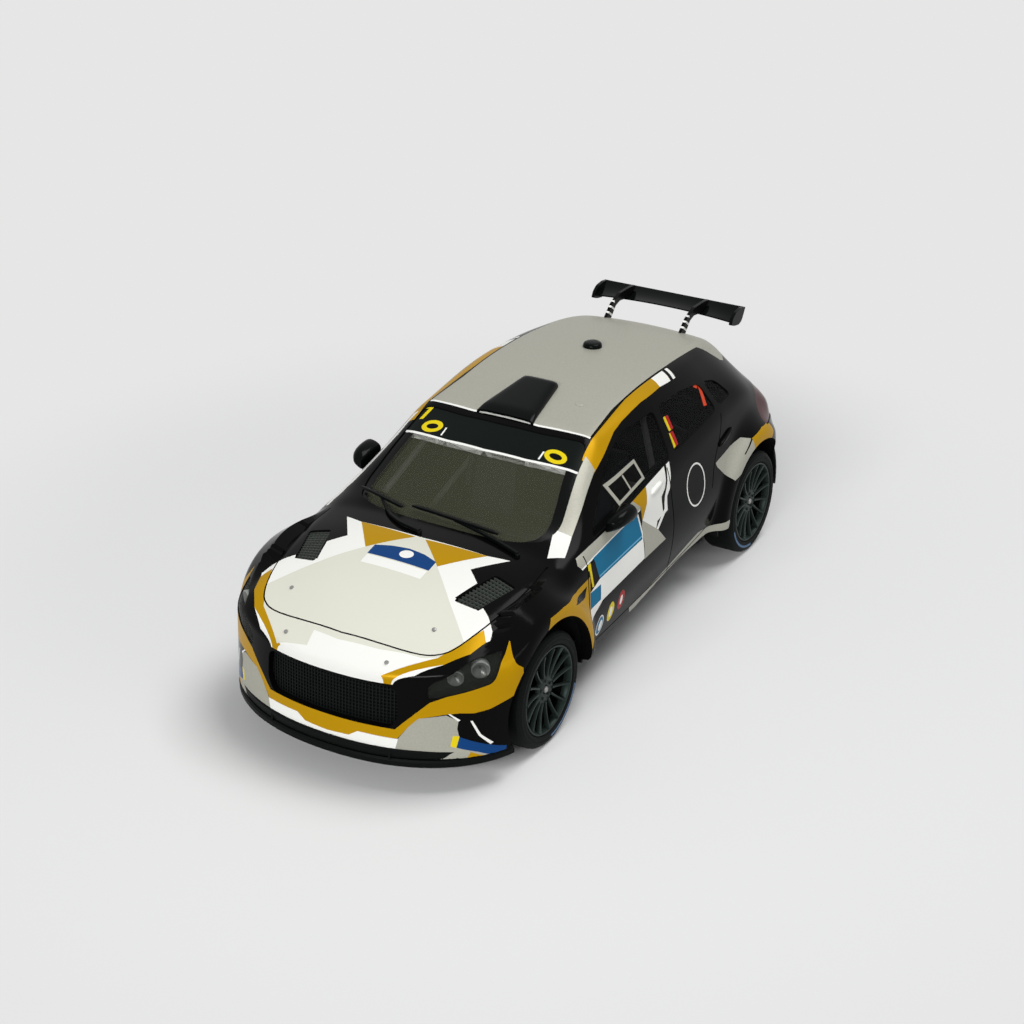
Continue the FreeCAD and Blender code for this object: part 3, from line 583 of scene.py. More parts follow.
class RallyBodySizes(bpy.types.PropertyGroup):
    wall: length("Body wall", "Thickness of the cast body shell", 1.1)
    gap_width: length("Shut line width", "Width of the door, bonnet and tailgate lines", 0.2)
    gap_depth: length("Shut line depth", "Depth of the door, bonnet and tailgate lines", 0.24)
    glass: length("Glass thickness", "Thickness of the window mouldings", 0.7)
    glass_inset: length("Glass inset", "How far the windows lie below the paint", 0.16)


class RallyFittingSizes(bpy.types.PropertyGroup):
    mesh_pitch: length("Grille mesh pitch", "Distance between the bars of the grille mesh", 0.45)
    mesh_bar: length("Grille mesh bar", "Thickness of the bars of the grille mesh", 0.15)
    wing_span: length("Wing span", "Width of the rear wing over its end plates", 23.2)
    wiper_width: length("Wiper width", "Width of the wiper blades", 0.35)


class RallyWheelSizes(bpy.types.PropertyGroup):
    tyre_radius: length("Tyre radius", "Outer radius of the tyres", 7.6)
    rim_radius: length("Rim radius", "Radius where the rim meets the tyre", 5.9)
    spokes: IntProperty(name="Spokes", description="Number of spokes in each wheel", default=15, min=3)


class RallyColours(bpy.types.PropertyGroup):
    black: shade("Black", "Ground colour of the body", 7, 8, 7)
    white: shade("White", "White of the livery", 246, 246, 241)
    silver: shade("Silver", "Flake silver of the roof and bonnet", 173, 172, 160)
    gold: shade("Gold", "Gold of the wings and rails", 188, 143, 7)
    blue: shade("Blue", "Blue panels on the doors", 12, 112, 152)
    navy: shade("Navy", "Dark blue bar on the front bumper", 20, 66, 124)
    yellow: shade("Yellow", "Start numbers on the doors and sun strip", 232, 208, 30)
    # Painted highlight: the bonnet panel's colour is the roof's silver drawn paler, for the stronger light and
    # reflection the bonnet catches.
    pearl: shade("Lit silver", "Pale silver of the bonnet panel", 224, 224, 210)
    sky: shade("Sky", "Light line in the blue door panels", 110, 178, 212)
    red: shade("Red", "Red of the small door badges", 176, 34, 34)
    orange: shade("Orange", "Start numbers on the rear door glass", 214, 70, 36)
    tint: shade("Glass tint", "Tint of the windscreen", 96, 98, 80)


# ---- livery --------------------------------------------------------------------------------------------------------
# Each group is a view, the limits that keep it to its own part of the body, and rows of colour and outline.
# The views read (y, z) from the side, (|x|, y) or (x, y) from above and (|x|, z) from ahead or behind.
LIVERY = (
    ("top", (("z", 14.3, 60.0), ("y", -60.0, -20.0)), (
        ("white", ((0, -25.0), (9.4, -24.5), (12.2, -23.7), (9.1, -28.1), (11.1, -29.8), (10.1, -33.4), (13.5, -33.6),
                   (13.8, -32.9), (15.0, -33.7), (16.4, -35.1), (16.8, -36.2), (16.5, -36.8), (15.8, -39.2),
                   (13.8, -41.9), (11.2, -44.3), (9.1, -45.3), (8.4, -45.6), (6.2, -46.1), (0, -47.5))),
        ("gold", ((0.7, -25.2), (9.4, -24.5), (5.3, -29.7), (3.0, -28.0))),
        # Painted highlight: the middle of the bonnet in the paler, lit copy of the silver.
        ("pearl", ((0, -24.9), (0.7, -25.2), (5.3, -29.7), (9.7, -34.1), (14.45, -38.4), (12.7, -41.5), (11.0, -42.3),
                   (8.9, -42.6), (5.6, -43.3), (0, -43.8))),
        ("gold", ((7.3, -45.6), (8.1, -45.8), (8.9, -45.3), (13.8, -41.9), (15.8, -39.2), (16.5, -36.8),
                  (15.5, -35.6), (14.45, -38.4), (12.7, -41.5), (11.0, -42.9), (8.3, -45.0))),
    )),
    ("above", (("z", 14.3, 60.0),), (
        # Painted light: a patch of the bonnet's paler, lit silver on the right front of the bonnet only, where the
        # left side is white.
        ("pearl", ((-3.7, -43.5), (-3.6, -45.2), (-7.9, -45.5), (-12.6, -41.6), (-9.3, -42.1))),
        ("navy", ((-4.4, -28.9), (-2.2, -28.3), (0.2, -28.0), (2.6, -28.3), (4.7, -29.0), (4.8, -30.9),
                  (-4.3, -30.8))),
        ("white", ((-4.2, -31.0), (4.7, -31.1), (4.7, -32.7), (-4.1, -32.6))),
    )),
    ("front", (("y", -60.0, -35.1), ("z", -5.0, 19.0)), (
        ("gold", ((18.7, 18.1), (19.7, 16.4), (21.4, 13.6), (21.4, 12.4), (20.0, 11.5), (18.6, 10.8), (17.3, 10.6),
                  (16.0, 10.8), (14.5, 10.7), (11.8, 10.1), (10.7, 8.9), (9.6, 7.4), (8.1, 6.9), (8.3, 7.5),
                  (10.5, 9.8), (11.5, 10.8), (13.0, 12.3), (14.6, 13.0), (16.9, 13.9), (18.3, 15.2), (18.9, 15.9),
                  (18.9, 16.9))),
        ("silver", ((8.8, 5.0), (9.6, 7.3), (10.7, 8.9), (11.8, 10.1), (14.7, 10.6), (15.9, 9.8), (15.8, 8.7),
                    (16.0, 7.6), (15.4, 7.8), (15.7, 6.2), (17.7, 5.3), (19.8, 3.9), (20.6, 3.9), (20.3, 3.0),
                    (15.0, 3.0))),
        ("white", ((14.9, 10.75), (15.1, 10.75), (16.1, 9.85), (15.9, 9.7))),
        ("white", ((17.0, 9.6), (17.2, 9.6), (17.95, 7.6), (18.95, 6.2), (18.75, 6.0), (17.75, 7.5))),
        ("navy", ((16.0, 7.6), (19.9, 5.2), (19.8, 3.9), (17.7, 5.3), (15.7, 6.2))),
        ("yellow", ((15.4, 7.8), (16.05, 7.7), (15.75, 6.1), (15.2, 6.4))),
        ("gold", ((17.1, 5.4), (18.9, 4.2), (17.8, 3.6), (16.7, 4.4))),
        ("gold", ((0, 8.5), (9.5, 8.35), (9.5, 7.15), (4.4, 7.2), (3.2, 6.4), (0, 6.2))),
        ("white", ((4.4, 7.2), (9.5, 7.1), (9.0, 5.0), (0, 5.0), (0, 6.2), (3.2, 6.4))),
    )),
    ("side", (("|x|", 17.2, 60.0), ("y", -60.0, 60.0)), (
        ("silver", ((-18.2, 20.1), (-17.6, 20.7), (-14.6, 21.1), (-10.6, 21.5), (-2.9, 22.4), (-1.5, 21.1),
                    (-1.7, 20.7), (-9.7, 20.1), (-14.8, 19.7), (-17.7, 19.4))),
        ("white", ((-17.8, 19.55), (-14.8, 19.9), (-9.7, 20.3), (-1.7, 20.85), (-1.7, 20.7), (-9.7, 20.15),
                   (-14.8, 19.7), (-17.7, 19.35))),
        ("blue", ((-14.8, 19.75), (-9.7, 20.15), (-2.5, 20.6), (-1.8, 17.4), (-1.9, 16.9), (-13.9, 16.5))),
        ("sky", ((-13.9, 16.95), (-2.0, 17.35), (-2.0, 17.15), (-13.9, 16.75))),
        ("white", ((-2.75, 20.6), (-2.45, 20.6), (-1.8, 17.6), (-1.85, 16.8), (-2.1, 16.8), (-2.1, 17.6))),
        ("white", ((-13.9, 16.5), (-1.9, 16.85), (-2.0, 14.0), (-13.6, 13.4), (-16.9, 11.7), (-17.0, 13.5),
                   (-16.7, 15.7))),
        ("blue", ((-16.6, 15.7), (-13.8, 15.7), (-14.1, 13.7), (-17.0, 13.5))),
        ("yellow", ((-16.6, 19.4), (-15.7, 19.5), (-15.7, 18.9), (-15.5, 16.2), (-15.9, 16.2), (-16.2, 18.6),
                    (-16.65, 18.9))),
        ("silver", ((-1.5, 19.2), (2.1, 16.5), (4.2, 14.1), (-1.9, 13.9), (-1.75, 15.8), (-1.75, 17.4),
                    (-1.9, 18.5))),
        ("gold", ((0.9, 22.9), (-2.9, 22.4), (-1.5, 21.1), (-1.6, 19.2), (0.2, 20.9), (0.6, 21.8))),
        ("white", ((0.9, 22.9), (6.3, 23.6), (5.9, 21.8), (5.3, 20.9), (4.2, 20.2), (4.1, 19.5), (4.1, 17.8),
                   (2.3, 17.5), (1.8, 16.7), (-1.5, 19.2), (0.2, 20.9), (0.6, 21.8))),
        ("white", ((6.9, 23.6), (7.8, 23.7), (7.3, 21.8), (6.6, 20.3), (5.7, 19.7), (5.5, 18.9), (5.4, 17.8),
                   (4.6, 17.7), (2.3, 16.3), (1.9, 16.6), (3.8, 17.9), (4.6, 18.3), (4.8, 19.2), (5.1, 19.9),
                   (5.8, 20.8), (6.3, 21.7))),
        ("silver", ((-4.5, 7.6), (1.5, 8.1), (6.9, 8.8), (12.5, 9.7), (15.2, 10.0), (19.8, 9.1), (22.4, 9.2),
                    (24.5, 5.0), (16.5, 5.0), (1.9, 5.0), (-3.5, 5.6))),
        ("gold", ((-16.2, 17.8), (-20.1, 17.5), (-25.4, 18.3), (-28.7, 18.4), (-29.5, 17.2), (-27.9, 16.0),
                  (-22.0, 8.9), (-18.1, 8.9), (-16.9, 11.7), (-17.0, 13.1), (-16.7, 15.2))),
        ("black", ((-17.2, 17.0), (-18.0, 15.8), (-18.8, 15.8), (-22.2, 17.0), (-20.3, 16.9), (-18.8, 16.8))),
        ("silver", ((20.4, 18.5), (25.5, 19.1), (28.2, 19.3), (29.9, 18.7), (30.2, 16.6), (26.0, 15.0), (24.0, 14.6),
                    (20.7, 17.8))),
        ("gold", ((29.9, 18.7), (33.5, 19.0), (36.7, 18.6), (37.2, 17.0), (34.4, 15.4), (30.2, 16.4))),
        ("black", ((29.8, 18.75), (30.0, 18.6), (27.3, 17.3), (27.1, 17.4))),
    )),
    ("side", (("|x|", 10.4, 16.4), ("z", 21.2, 60.0), ("rail", 0, 0)), (
        ("gold", ((-6.5, 27.15), (-3.6, 28.35), (-1.9, 28.95), (0.7, 29.8), (3.1, 30.25), (5.9, 30.6), (8.7, 30.85),
                  (14.4, 30.95), (15.8, 32.6), (-6.5, 32.6))),
        ("white", ((14.4, 30.95), (17.4, 30.75), (19.4, 32.6), (15.8, 32.6))),
        ("white", ((18.2, 30.7), (18.9, 30.65), (20.8, 32.6), (20.1, 32.6))),
    )),
    # Painted highlight: the right A-pillar, silver above like the left one, is drawn white along its whole length for
    # the bright light on its edge.
    ("above", (("z", 20.3, 60.0), ("x", -60.0, 0.0)), (
        ("white", ((-13.0, -5.0), (-13.7, -6.4), (-14.1, -8.4), (-16.2, -13.2), (-16.8, -14.9), (-17.3, -16.2),
                   (-17.4, -17.6), (-17.6, -18.8), (-17.6, -20.3), (-18.7, -20.3), (-18.7, -16.2), (-17.4, -12.6),
                   (-15.2, -8.0), (-14.0, -4.8))),
    )),
    ("top", (("z", 20.9, 60.0), ("y", -21.0, -5.0), ("x", 0.0, 60.0)), (
        ("silver", ((12.9, -5.8), (14.5, -6.2), (15.0, -9.0), (15.6, -11.7), (16.25, -15.4), (14.0, -15.9),
                    (13.9, -13.0), (13.5, -10.5), (13.1, -7.7))),
        ("white", ((14.0, -15.9), (16.25, -15.4), (17.1, -18.7), (15.5, -20.3), (14.3, -17.0))),
    )),
    ("top", (("z", 27.4, 60.0),), (
        ("silver", ((0, -4.1), (5, -4.1), (12.1, -3.1), (11.4, 4), (11.3, 20), (10.9, 30.6), (13.2, 33.9), (13.2, 37),
                    (0, 37))),
        ("white", ((0, -4.3), (5.0, -4.3), (12.2, -3.4), (12.2, -3.1), (5.0, -4.0), (0, -4.0))),
    )),
)
OVALS = (     # colour, view, centre, half sizes, limit of |x|
    ("white", "above", (0.5, -29.2), (0.95, 0.8), -1.0),
    ("white", "side", (14.0, 17.9), (2.75, 3.05), 18.0),
    ("black", "side", (14.0, 17.9), (2.5, 2.8), 18.0),
    ("white", "side", (-13.7, 9.6), (0.95, 1.55), 18.0),
    ("blue", "side", (-13.7, 9.6), (0.8, 1.35), 18.0),
    ("white", "side", (-13.5, 9.5), (0.45, 0.85), 18.0),
    ("yellow", "side", (-10.9, 10.3), (0.9, 1.45), 18.0),
    ("white", "side", (-10.9, 10.3), (0.4, 0.8), 18.0),
    ("red", "side", (-8.1, 10.7), (0.9, 1.45), 18.0),
    ("white", "side", (-8.1, 10.7), (0.35, 0.75), 18.0),
)
METALLIC = {"silver": 0.2, "gold": 0.15}
SEAM = 0.004      # how far the convex parts of an outline overlap
RAIL_LINE = np.array(((12.45, -3.4), (11.65, 7.5), (11.65, 34.0)))
# Painted highlight: a blue arc of reflected light on each tyre's outer side wall, at the same turn round every wheel.
ARC_R, ARC_HALF, ARC_TURN, ARC_REACH = 6.65, 0.16, 2.5, 0.6      # the blue arc on each tyre
TYRE_FACE_X, RIM_FACE_X = 19.8, 19.2      # the outer faces of tyre and rim lie beyond these


def coordinates(tree):
    """Object coordinates in millimetres as axes, and the view vectors (u, v, 1) that outlines are read in."""
    place = put(tree, "VectorMath", put(tree, "TexCoord", out=3), (1000.0, 1000.0, 1000.0), operation="MULTIPLY")
    parts = tree.nodes.new("ShaderNodeSeparateXYZ")
    tree.links.new(place, parts.inputs[0])
    x, y, z = parts.outputs
    side_x = maths(tree, "ABSOLUTE", x)
    pairs = {"side": (y, z), "top": (side_x, y), "front": (side_x, z), "above": (x, y)}
    return {"x": x, "y": y, "z": z, "|x|": side_x}, {name: put(tree, "CombineXYZ", a, b, 1.0)
                                                    for name, (a, b) in pairs.items()}


def corner_turn(a, b, c):
    """Twice the signed area of three points: below 0 where an outline bends inward."""
    return (b[0] - a[0]) * (c[1] - a[1]) - (b[1] - a[1]) * (c[0] - a[0])


def hollow_corners(p):
    """Corners of an outline that bend inward."""
    return [i for i in range(len(p)) if corner_turn(p[i - 1], p[i], p[(i + 1) % len(p)]) < -1e-6]


def sees(p, i, j):
    """Whether the straight cut between two corners of an outline stays inside it."""
    a, b = np.array(p[i]), np.array(p[j])
    for k in range(len(p)):
        m = (k + 1) % len(p)
        if {k, m} & {i, j}:
            continue
        c, d = p[k], p[m]
        if corner_turn(a, b, c) * corner_turn(a, b, d) <= 0 and corner_turn(c, d, a) * corner_turn(c, d, b) <= 0:
            return False
    x, y = (a + b) / 2
    crossings = sum((c[1] > y) != (d[1] > y) and x < (d[0] - c[0]) * (y - c[1]) / (d[1] - c[1]) + c[0]
                    for c, d in zip(p, p[1:] + p[:1]))
    return crossings % 2 == 1


def convex_parts(points):
    """Convex outlines that make up any outline: cut it from a hollow corner to the one that leaves fewest hollows."""
    p = [tuple(map(float, q)) for q in points]
    if sum(a[0] * b[1] - a[1] * b[0] for a, b in zip(p, p[1:] + p[:1])) < 0:
        p = p[::-1]
    n = len(p)
    cuts = []
    for i in hollow_corners(p):
        for j in range(n):
            if (i - j) % n not in (0, 1, n - 1) and sees(p, i, j):
                low, high = sorted((i, j))
                halves = p[low:high + 1], p[high:] + p[:low + 1]
                cuts.append((sum(len(hollow_corners(h)) for h in halves), math.dist(p[i], p[j]), halves))
    if not cuts:
        return [p]
    halves = min(cuts, key=lambda c: c[:2])[2]
    return convex_parts(halves[0]) + convex_parts(halves[1])


def inward(tree, view, points):
    """Distance inward of the nearest side of a convex outline."""
    p = np.asarray(points, float)
    q = np.roll(p, -1, 0)
    n = np.stack([p[:, 1] - q[:, 1], q[:, 0] - p[:, 0]], 1)
    n /= np.linalg.norm(n, axis=1, keepdims=True)
    shift = SEAM - np.sum(n * p, 1)
    sides = [put(tree, "VectorMath", view, (a, b, c), operation="DOT_PRODUCT", out=1)
             for (a, b), c in zip(n.tolist(), shift.tolist())]
    return reduce(lambda a, b: maths(tree, "MINIMUM", a, b), sides)


def within(tree, distance, extra):
    """1 where a distance and every extra one are above 0."""
    for side in extra:
        distance = maths(tree, "MINIMUM", distance, side)
    return maths(tree, "GREATER_THAN", distance, 0.0)


def outline_mask(tree, view, points, extra=()):
    """1 inside an outline: above 0 in any of its convex parts, and in every one of the extra distances."""
    parts = [inward(tree, view, part) for part in convex_parts(points)]
    return within(tree, reduce(lambda a, b: maths(tree, "MAXIMUM", a, b), parts), extra)


def oval_mask(tree, view, centre, half, extra=()):
    """1 inside an oval: the length of (point - centre) / half sizes below 1."""
    step = put(tree, "VectorMath", view, (*centre, 1.0), operation="SUBTRACT")
    step = put(tree, "VectorMath", step, (1 / half[0], 1 / half[1], 0.0), operation="MULTIPLY")
    return within(tree, maths(tree, "SUBTRACT", 1.0, put(tree, "VectorMath", step, operation="LENGTH", out=1)), extra)


def limits(tree, axes, rows):
    """Distances inside the limits of a livery group. 'rail' keeps it outward of the roof's edge lines."""
    out = []
    for name, low, high in rows:
        if name == "rail":
            for start, end in zip(RAIL_LINE, RAIL_LINE[1:]):
                n = np.array([end[1] - start[1], start[0] - end[0]])
                n /= np.linalg.norm(n)
                out.append(put(tree, "VectorMath", put(tree, "CombineXYZ", axes["|x|"], axes["y"], 1.0),
                               (n[0], n[1], -float(n @ start)), operation="DOT_PRODUCT", out=1))
        else:
            out += [maths(tree, "SUBTRACT", axes[name], low), maths(tree, "SUBTRACT", high, axes[name])]
    return out


def user_colours():
    """The colours in the panel, by name."""
    c = bpy.context.scene.rally_colours
    return {name: tuple(getattr(c, name)) for name in RallyColours.__annotations__}


def body_paint(name):
    """Gloss paint over the casting: black ground, the livery tables laid over it in order, and silver with flakes."""
    material, tree, shader = finish(name, Specular_IOR_Level=0.045)
    axes, views = coordinates(tree)
    look = user_colours()
    look["silver"] = scaled(tree, look["silver"], maths(tree, "MULTIPLY_ADD", noise(tree, 5200.0, 1.0), 0.24, 0.88))
    layers = []
    for view, rows, shapes in LIVERY:
        extra = limits(tree, axes, rows)
        layers += [(paint, outline_mask(tree, views[view], points, extra)) for paint, points in shapes]
    layers += [(paint, oval_mask(tree, views[view], centre, half, [maths(tree, "SUBTRACT", axes["|x|"], least_x)]))
               for paint, view, centre, half, least_x in OVALS]
    base, metal = look["black"], 0.0
    for paint, mask in layers:
        base = blend_colour(tree, mask, base, look[paint])
        metal = blend_value(tree, mask, metal, METALLIC.get(paint, 0.0))
    feed(tree, shader.inputs["Base Color"], base)
    feed(tree, shader.inputs["Metallic"], metal)
    feed(tree, shader.inputs["Roughness"], maths(tree, "MULTIPLY_ADD", metal, 1.3, 0.12))
    return material


# ---- other finishes ------------------------------------------------------------------------------------------------
def plain(name, rgb, scale=900.0, strength=0.15, distance=0.00002, spread=0.15, **sockets):
    """Moulded or painted finish: one colour that varies with a fine grain, which also roughens the surface."""
    material, tree, shader = finish(name, **sockets)
    base = colour(*rgb)[:3]
    dark, light = [[min(c * share, 1.0) for c in base] + [1.0] for share in (1 - spread, 1 + spread)]
    height = grain(tree, shader, scale, strength, distance)
    feed(tree, shader.inputs["Base Color"], blend_colour(tree, height, dark, light))
    return material


CLEAR = dict(scale=60.0, strength=0.0, distance=0.0001, spread=0.05, Roughness=0.06, Specular_IOR_Level=0.07)
PLAIN = {
    "gap black": ((6, 6, 6), dict(Roughness=0.6)),
    "gloss black": ((7, 10, 9), dict(strength=0.05, Roughness=0.14)),
    "satin black": ((10, 12, 12), dict(strength=0.2, Roughness=0.4)),
    "mesh black": ((20, 24, 23), dict(Roughness=0.4)),
    "vent mesh": ((62, 66, 62), dict(Roughness=0.4)),
    "chassis plastic": ((20, 21, 22), dict(strength=0.3, Roughness=0.55)),
    "cabin plastic": ((26, 27, 28), dict(strength=0.3, Roughness=0.6)),
    "seat plastic": ((38, 40, 44), dict(scale=2500.0, strength=0.4, Roughness=0.7)),
    "cage paint": ((110, 112, 110), dict(strength=0.1, Roughness=0.35)),
    "axle steel": ((150, 150, 148), dict(scale=1500.0, strength=0.1, Roughness=0.3, Metallic=0.9)),
    "bright metal": ((150, 150, 148), dict(strength=0.1, Roughness=0.35, Metallic=0.7)),
    "lamp reflector": ((150, 153, 148), dict(strength=0.3, Roughness=0.3, Metallic=0.4)),
    "lamp housing": ((34, 37, 34), dict(strength=0.3, Roughness=0.35)),
    "glass back": ((14, 16, 16), dict(CLEAR, Alpha=0.2)),
    "lens clear": ((52, 55, 50), dict(CLEAR, Alpha=0.3)),
    "lens red": ((72, 10, 18), dict(CLEAR, Alpha=0.94)),
}


def use(name):
    """The named finish, made once."""
    ready = bpy.data.materials.get(name)
    if ready:
        return ready
    if name in PLAIN:
        rgb, settings = PLAIN[name]
        return plain(name, rgb, **settings)
    return DRAWN[name](name)


def near(tree, value, centre, half):
    """1 where a value lies within half of a centre."""
    return maths(tree, "LESS_THAN", maths(tree, "ABSOLUTE", maths(tree, "SUBTRACT", value, centre)), half)


def tyre_rubber(name):
    """Soft black rubber with a painted highlight, a thin blue arc of light, on the outer side wall of each tyre."""
    material, tree, shader = finish(name, Roughness=0.6)
    axes, _ = coordinates(tree)
    rubber = blend_colour(tree, grain(tree, shader, 1800.0, 0.25, 0.00003), colour(10, 12, 12), colour(17, 19, 19))
    from_middle = maths(tree, "ABSOLUTE", maths(tree, "SUBTRACT", axes["y"], (FRONT_Y + REAR_Y) / 2))
    fore = maths(tree, "SUBTRACT", from_middle, (REAR_Y - FRONT_Y) / 2)
    low = maths(tree, "SUBTRACT", axes["z"], AXLE_Z)
    squares = [maths(tree, "MULTIPLY", side, side) for side in (fore, low)]
    ring = near(tree, maths(tree, "SQRT", maths(tree, "ADD", *squares)), ARC_R, ARC_HALF)
    turn = maths(tree, "ADD", maths(tree, "ARCTAN2", fore, low), ARC_TURN)
    arc = maths(tree, "LESS_THAN", maths(tree, "ABSOLUTE", turn), ARC_REACH)
    outer = maths(tree, "GREATER_THAN", axes["|x|"], TYRE_FACE_X)
    # Painted highlight: the ring, turn and outer-face masks together lay the arc of blue light on the side wall.
    highlight_arc = maths(tree, "MULTIPLY", maths(tree, "MULTIPLY", ring, arc), outer)
    feed(tree, shader.inputs["Base Color"], blend_colour(tree, highlight_arc, rubber, colour(96, 120, 150)))
    return material


def rim_paint(name):
    """Grey-green paint on the face of the rims, black in their barrels."""
    material, tree, shader = finish(name, Roughness=0.36, Metallic=0.25)
    axes, _ = coordinates(tree)
    face = blend_colour(tree, grain(tree, shader, 900.0, 0.12, 0.00002), colour(36, 45, 42), colour(44, 55, 52))
    outer = maths(tree, "GREATER_THAN", axes["|x|"], RIM_FACE_X)
    feed(tree, shader.inputs["Base Color"], blend_colour(tree, outer, colour(8, 9, 9), face))
    return material


def windscreen_glass(name):
    """Smoked clear moulding inside an opaque black border."""
    material, tree, shader = finish(name, Roughness=0.2, Specular_IOR_Level=0.08)
    height = grain(tree, shader, 60.0, 0.0, 0.0001)
    clear = outline_mask(tree, coordinates(tree)[1]["above"], SCREEN_CLEAR)
    tint = scaled(tree, user_colours()["tint"], blend_value(tree, height, 0.96, 1.04))
    feed(tree, shader.inputs["Base Color"], blend_colour(tree, clear, colour(8, 9, 9), tint))
    feed(tree, shader.inputs["Alpha"], blend_value(tree, clear, 1.0, 0.24))
    return material


def side_glass(name):
    """Dark clear side windows: a start number and colour blocks on the rear doors, a framed hatch on the front."""
    material, tree, shader = finish(name, Roughness=0.1, Specular_IOR_Level=0.08)
    grain(tree, shader, 60.0, 0.0, 0.0001)
    view, look = coordinates(tree)[1]["side"], user_colours()
    base, density = colour(14, 16, 16), 0.35
    for paint, points in SIDE_MARKS:
        mask = outline_mask(tree, view, points)
        base = blend_colour(tree, mask, base, look[paint])
        density = blend_value(tree, mask, density, 0.5 if paint == "black" else 1.0)
    feed(tree, shader.inputs["Base Color"], base)
    feed(tree, shader.inputs["Alpha"], density)
    return material


# Marks on the side glass: colour and (y, z) outline.
SIDE_MARKS = (
    ("orange", ((23.2, 29.3), (23.9, 29.2), (21.9, 26.2), (21.1, 26.3))),
    ("orange", ((23.2, 29.3), (23.6, 28.6), (21.9, 28.3), (21.4, 28.7))),
    ("yellow", ((11.0, 28.2), (11.6, 28.2), (11.4, 26.5), (10.9, 26.5))),
    ("red", ((11.6, 28.2), (12.3, 28.1), (12.1, 26.5), (11.4, 26.5))),
    ("yellow", ((10.2, 26.3), (10.9, 26.3), (10.8, 24.6), (10.2, 24.5))),
    ("red", ((10.9, 26.3), (11.7, 26.3), (11.5, 24.6), (10.8, 24.6))),
    ("silver", ((-6.4, 25.6), (1.4, 26.2), (1.6, 23.7), (-5.6, 22.8))),
    ("black", ((-5.7, 25.2), (1.0, 25.8), (1.1, 24.0), (-5.1, 23.2))),
    ("silver", ((-2.4, 25.4), (-2.1, 25.45), (-1.9, 23.6), (-2.2, 23.55))),
)


def sun_strip(name):
    """Black sun strip on the top of the screen: a start number, two ovals, plain bars and a white lower edge."""
    material, tree, shader = finish(name, Roughness=0.3)
    view, look = coordinates(tree)[1]["above"], user_colours()
    edge = list(STRIP_EDGE)
    marks = [("white", edge + [(x, y + 0.32) for x, y in edge[::-1]]),
             ("yellow", ((-12.1, -4.15), (-10.9, -4.05), (-11.0, -4.55), (-12.2, -4.65))),
             ("yellow", ((-11.4, -4.1), (-10.85, -4.1), (-11.5, -6.3), (-12.1, -6.35)))]
    marks += [("white", ((x, -7.3), (x + 0.24, -7.3), (x + 0.14, -8.55), (x - 0.1, -8.55))) for x in (-7.3, 7.5)]
    base = colour(14, 20, 18)
    for paint, points in marks:
        base = blend_colour(tree, outline_mask(tree, view, points), base, look[paint])
    for centre in ((-9.4, -7.3), (9.4, -7.4)):
        for paint, half in (("yellow", (1.6, 0.95)), ("black", (0.9, 0.42))):
            base = blend_colour(tree, oval_mask(tree, view, centre, half), base, look[paint])
    feed(tree, shader.inputs["Base Color"], base)
    grain(tree, shader, 900.0, 0.05, 0.00002)
    return material


def post_paint(name):
    """Black arms with white loops on the middle of their lower part."""
    material, tree, shader = finish(name, Roughness=0.35)
    (axes, views), look = coordinates(tree), user_colours()
    along = maths(tree, "ADD", axes["z"], maths(tree, "MULTIPLY", axes["y"], 0.8))
    ring = near(tree, maths(tree, "FRACT", maths(tree, "MULTIPLY", along, 0.8)), 0.5, 0.15)
    span = outline_mask(tree, views["side"], ((35.2, 28.6), (37.6, 30.6), (37.6, 32.6), (35.2, 31.0)))
    mask = maths(tree, "MULTIPLY", ring, span)
    feed(tree, shader.inputs["Base Color"], blend_colour(tree, mask, look["black"], look["white"]))
    grain(tree, shader, 900.0, 0.05, 0.00002)
    return material


DRAWN = {"body paint": body_paint, "tyre rubber": tyre_rubber, "rim paint": rim_paint, "post paint": post_paint,
         "windscreen clear": windscreen_glass, "side clear": side_glass, "strip black": sun_strip}


# ---- openings and shut lines ---------------------------------------------------------------------------------------
LAMP_TURN = math.radians(55.0)
LAMP_FRAME = ((math.sin(LAMP_TURN), math.cos(LAMP_TURN), 0), (0, 0, 1),
              (math.cos(LAMP_TURN), -math.sin(LAMP_TURN), 0))
SIDE_GLASS = ("front_door", "rear_door", "quarter")
OPENINGS = {      # outline, corner radius, direction of the cut, and where it starts and ends
    "front_door": (((-13.6, 21.4), (8.2, 23.9), (9.6, 29.6), (1.5, 29.4), (-4.0, 27.6)), 0.9, "x", 8.0, 30.0),
    "rear_door": (((9.8, 24.1), (23.2, 25.2), (22.8, 28.7), (17.0, 29.5), (11.2, 29.7)), 0.9, "x", 8.0, 30.0),
    "quarter": (((24.4, 25.3), (28.8, 25.4), (27.4, 27.6), (24.2, 28.5)), 0.9, "x", 8.0, 30.0),
    "headlamp": (((-14.9, 12.6), (-6.8, 14.2), (-5.4, 17.3), (-9.8, 16.9), (-14.7, 14.6)), 0.8, LAMP_FRAME,
                 32.0, 60.0),
    "taillamp": (((35.4, 18.6), (47.0, 16.2), (47.0, 19.0), (41.0, 23.4), (37.6, 22.6)), 0.7, "x", 11.9, 40.0),
    "bonnet_vent": (((12.2, -27.2), (15.3, -27.6), (13.4, -33.6), (10.2, -33.9)), 0.5, "z", 17.0, 40.0),
    "windscreen": (mirrored(((0.0, -21.3), (9.0, -20.8), (13.6, -18.6), (14.6, -15.4), (12.3, -4.2), (6.0, -5.1),
                             (0.0, -5.3))), 1.2, "z", 20.0, 45.0),
    "rear_window": (mirrored(((0.0, 22.4), (11.4, 22.4), (9.2, 28.2), (0.0, 28.6))), 0.9, "y", 34.0, 60.0),
    "grille": (mirrored(((0.0, 8.4), (8.5, 8.4), (9.5, 10.0), (9.3, 13.4), (8.4, 14.0), (0.0, 14.1))), 0.7, "y",
               -60.0, -43.8),
}
PANE_GAP = 0.04      # between a pane or lens and its opening
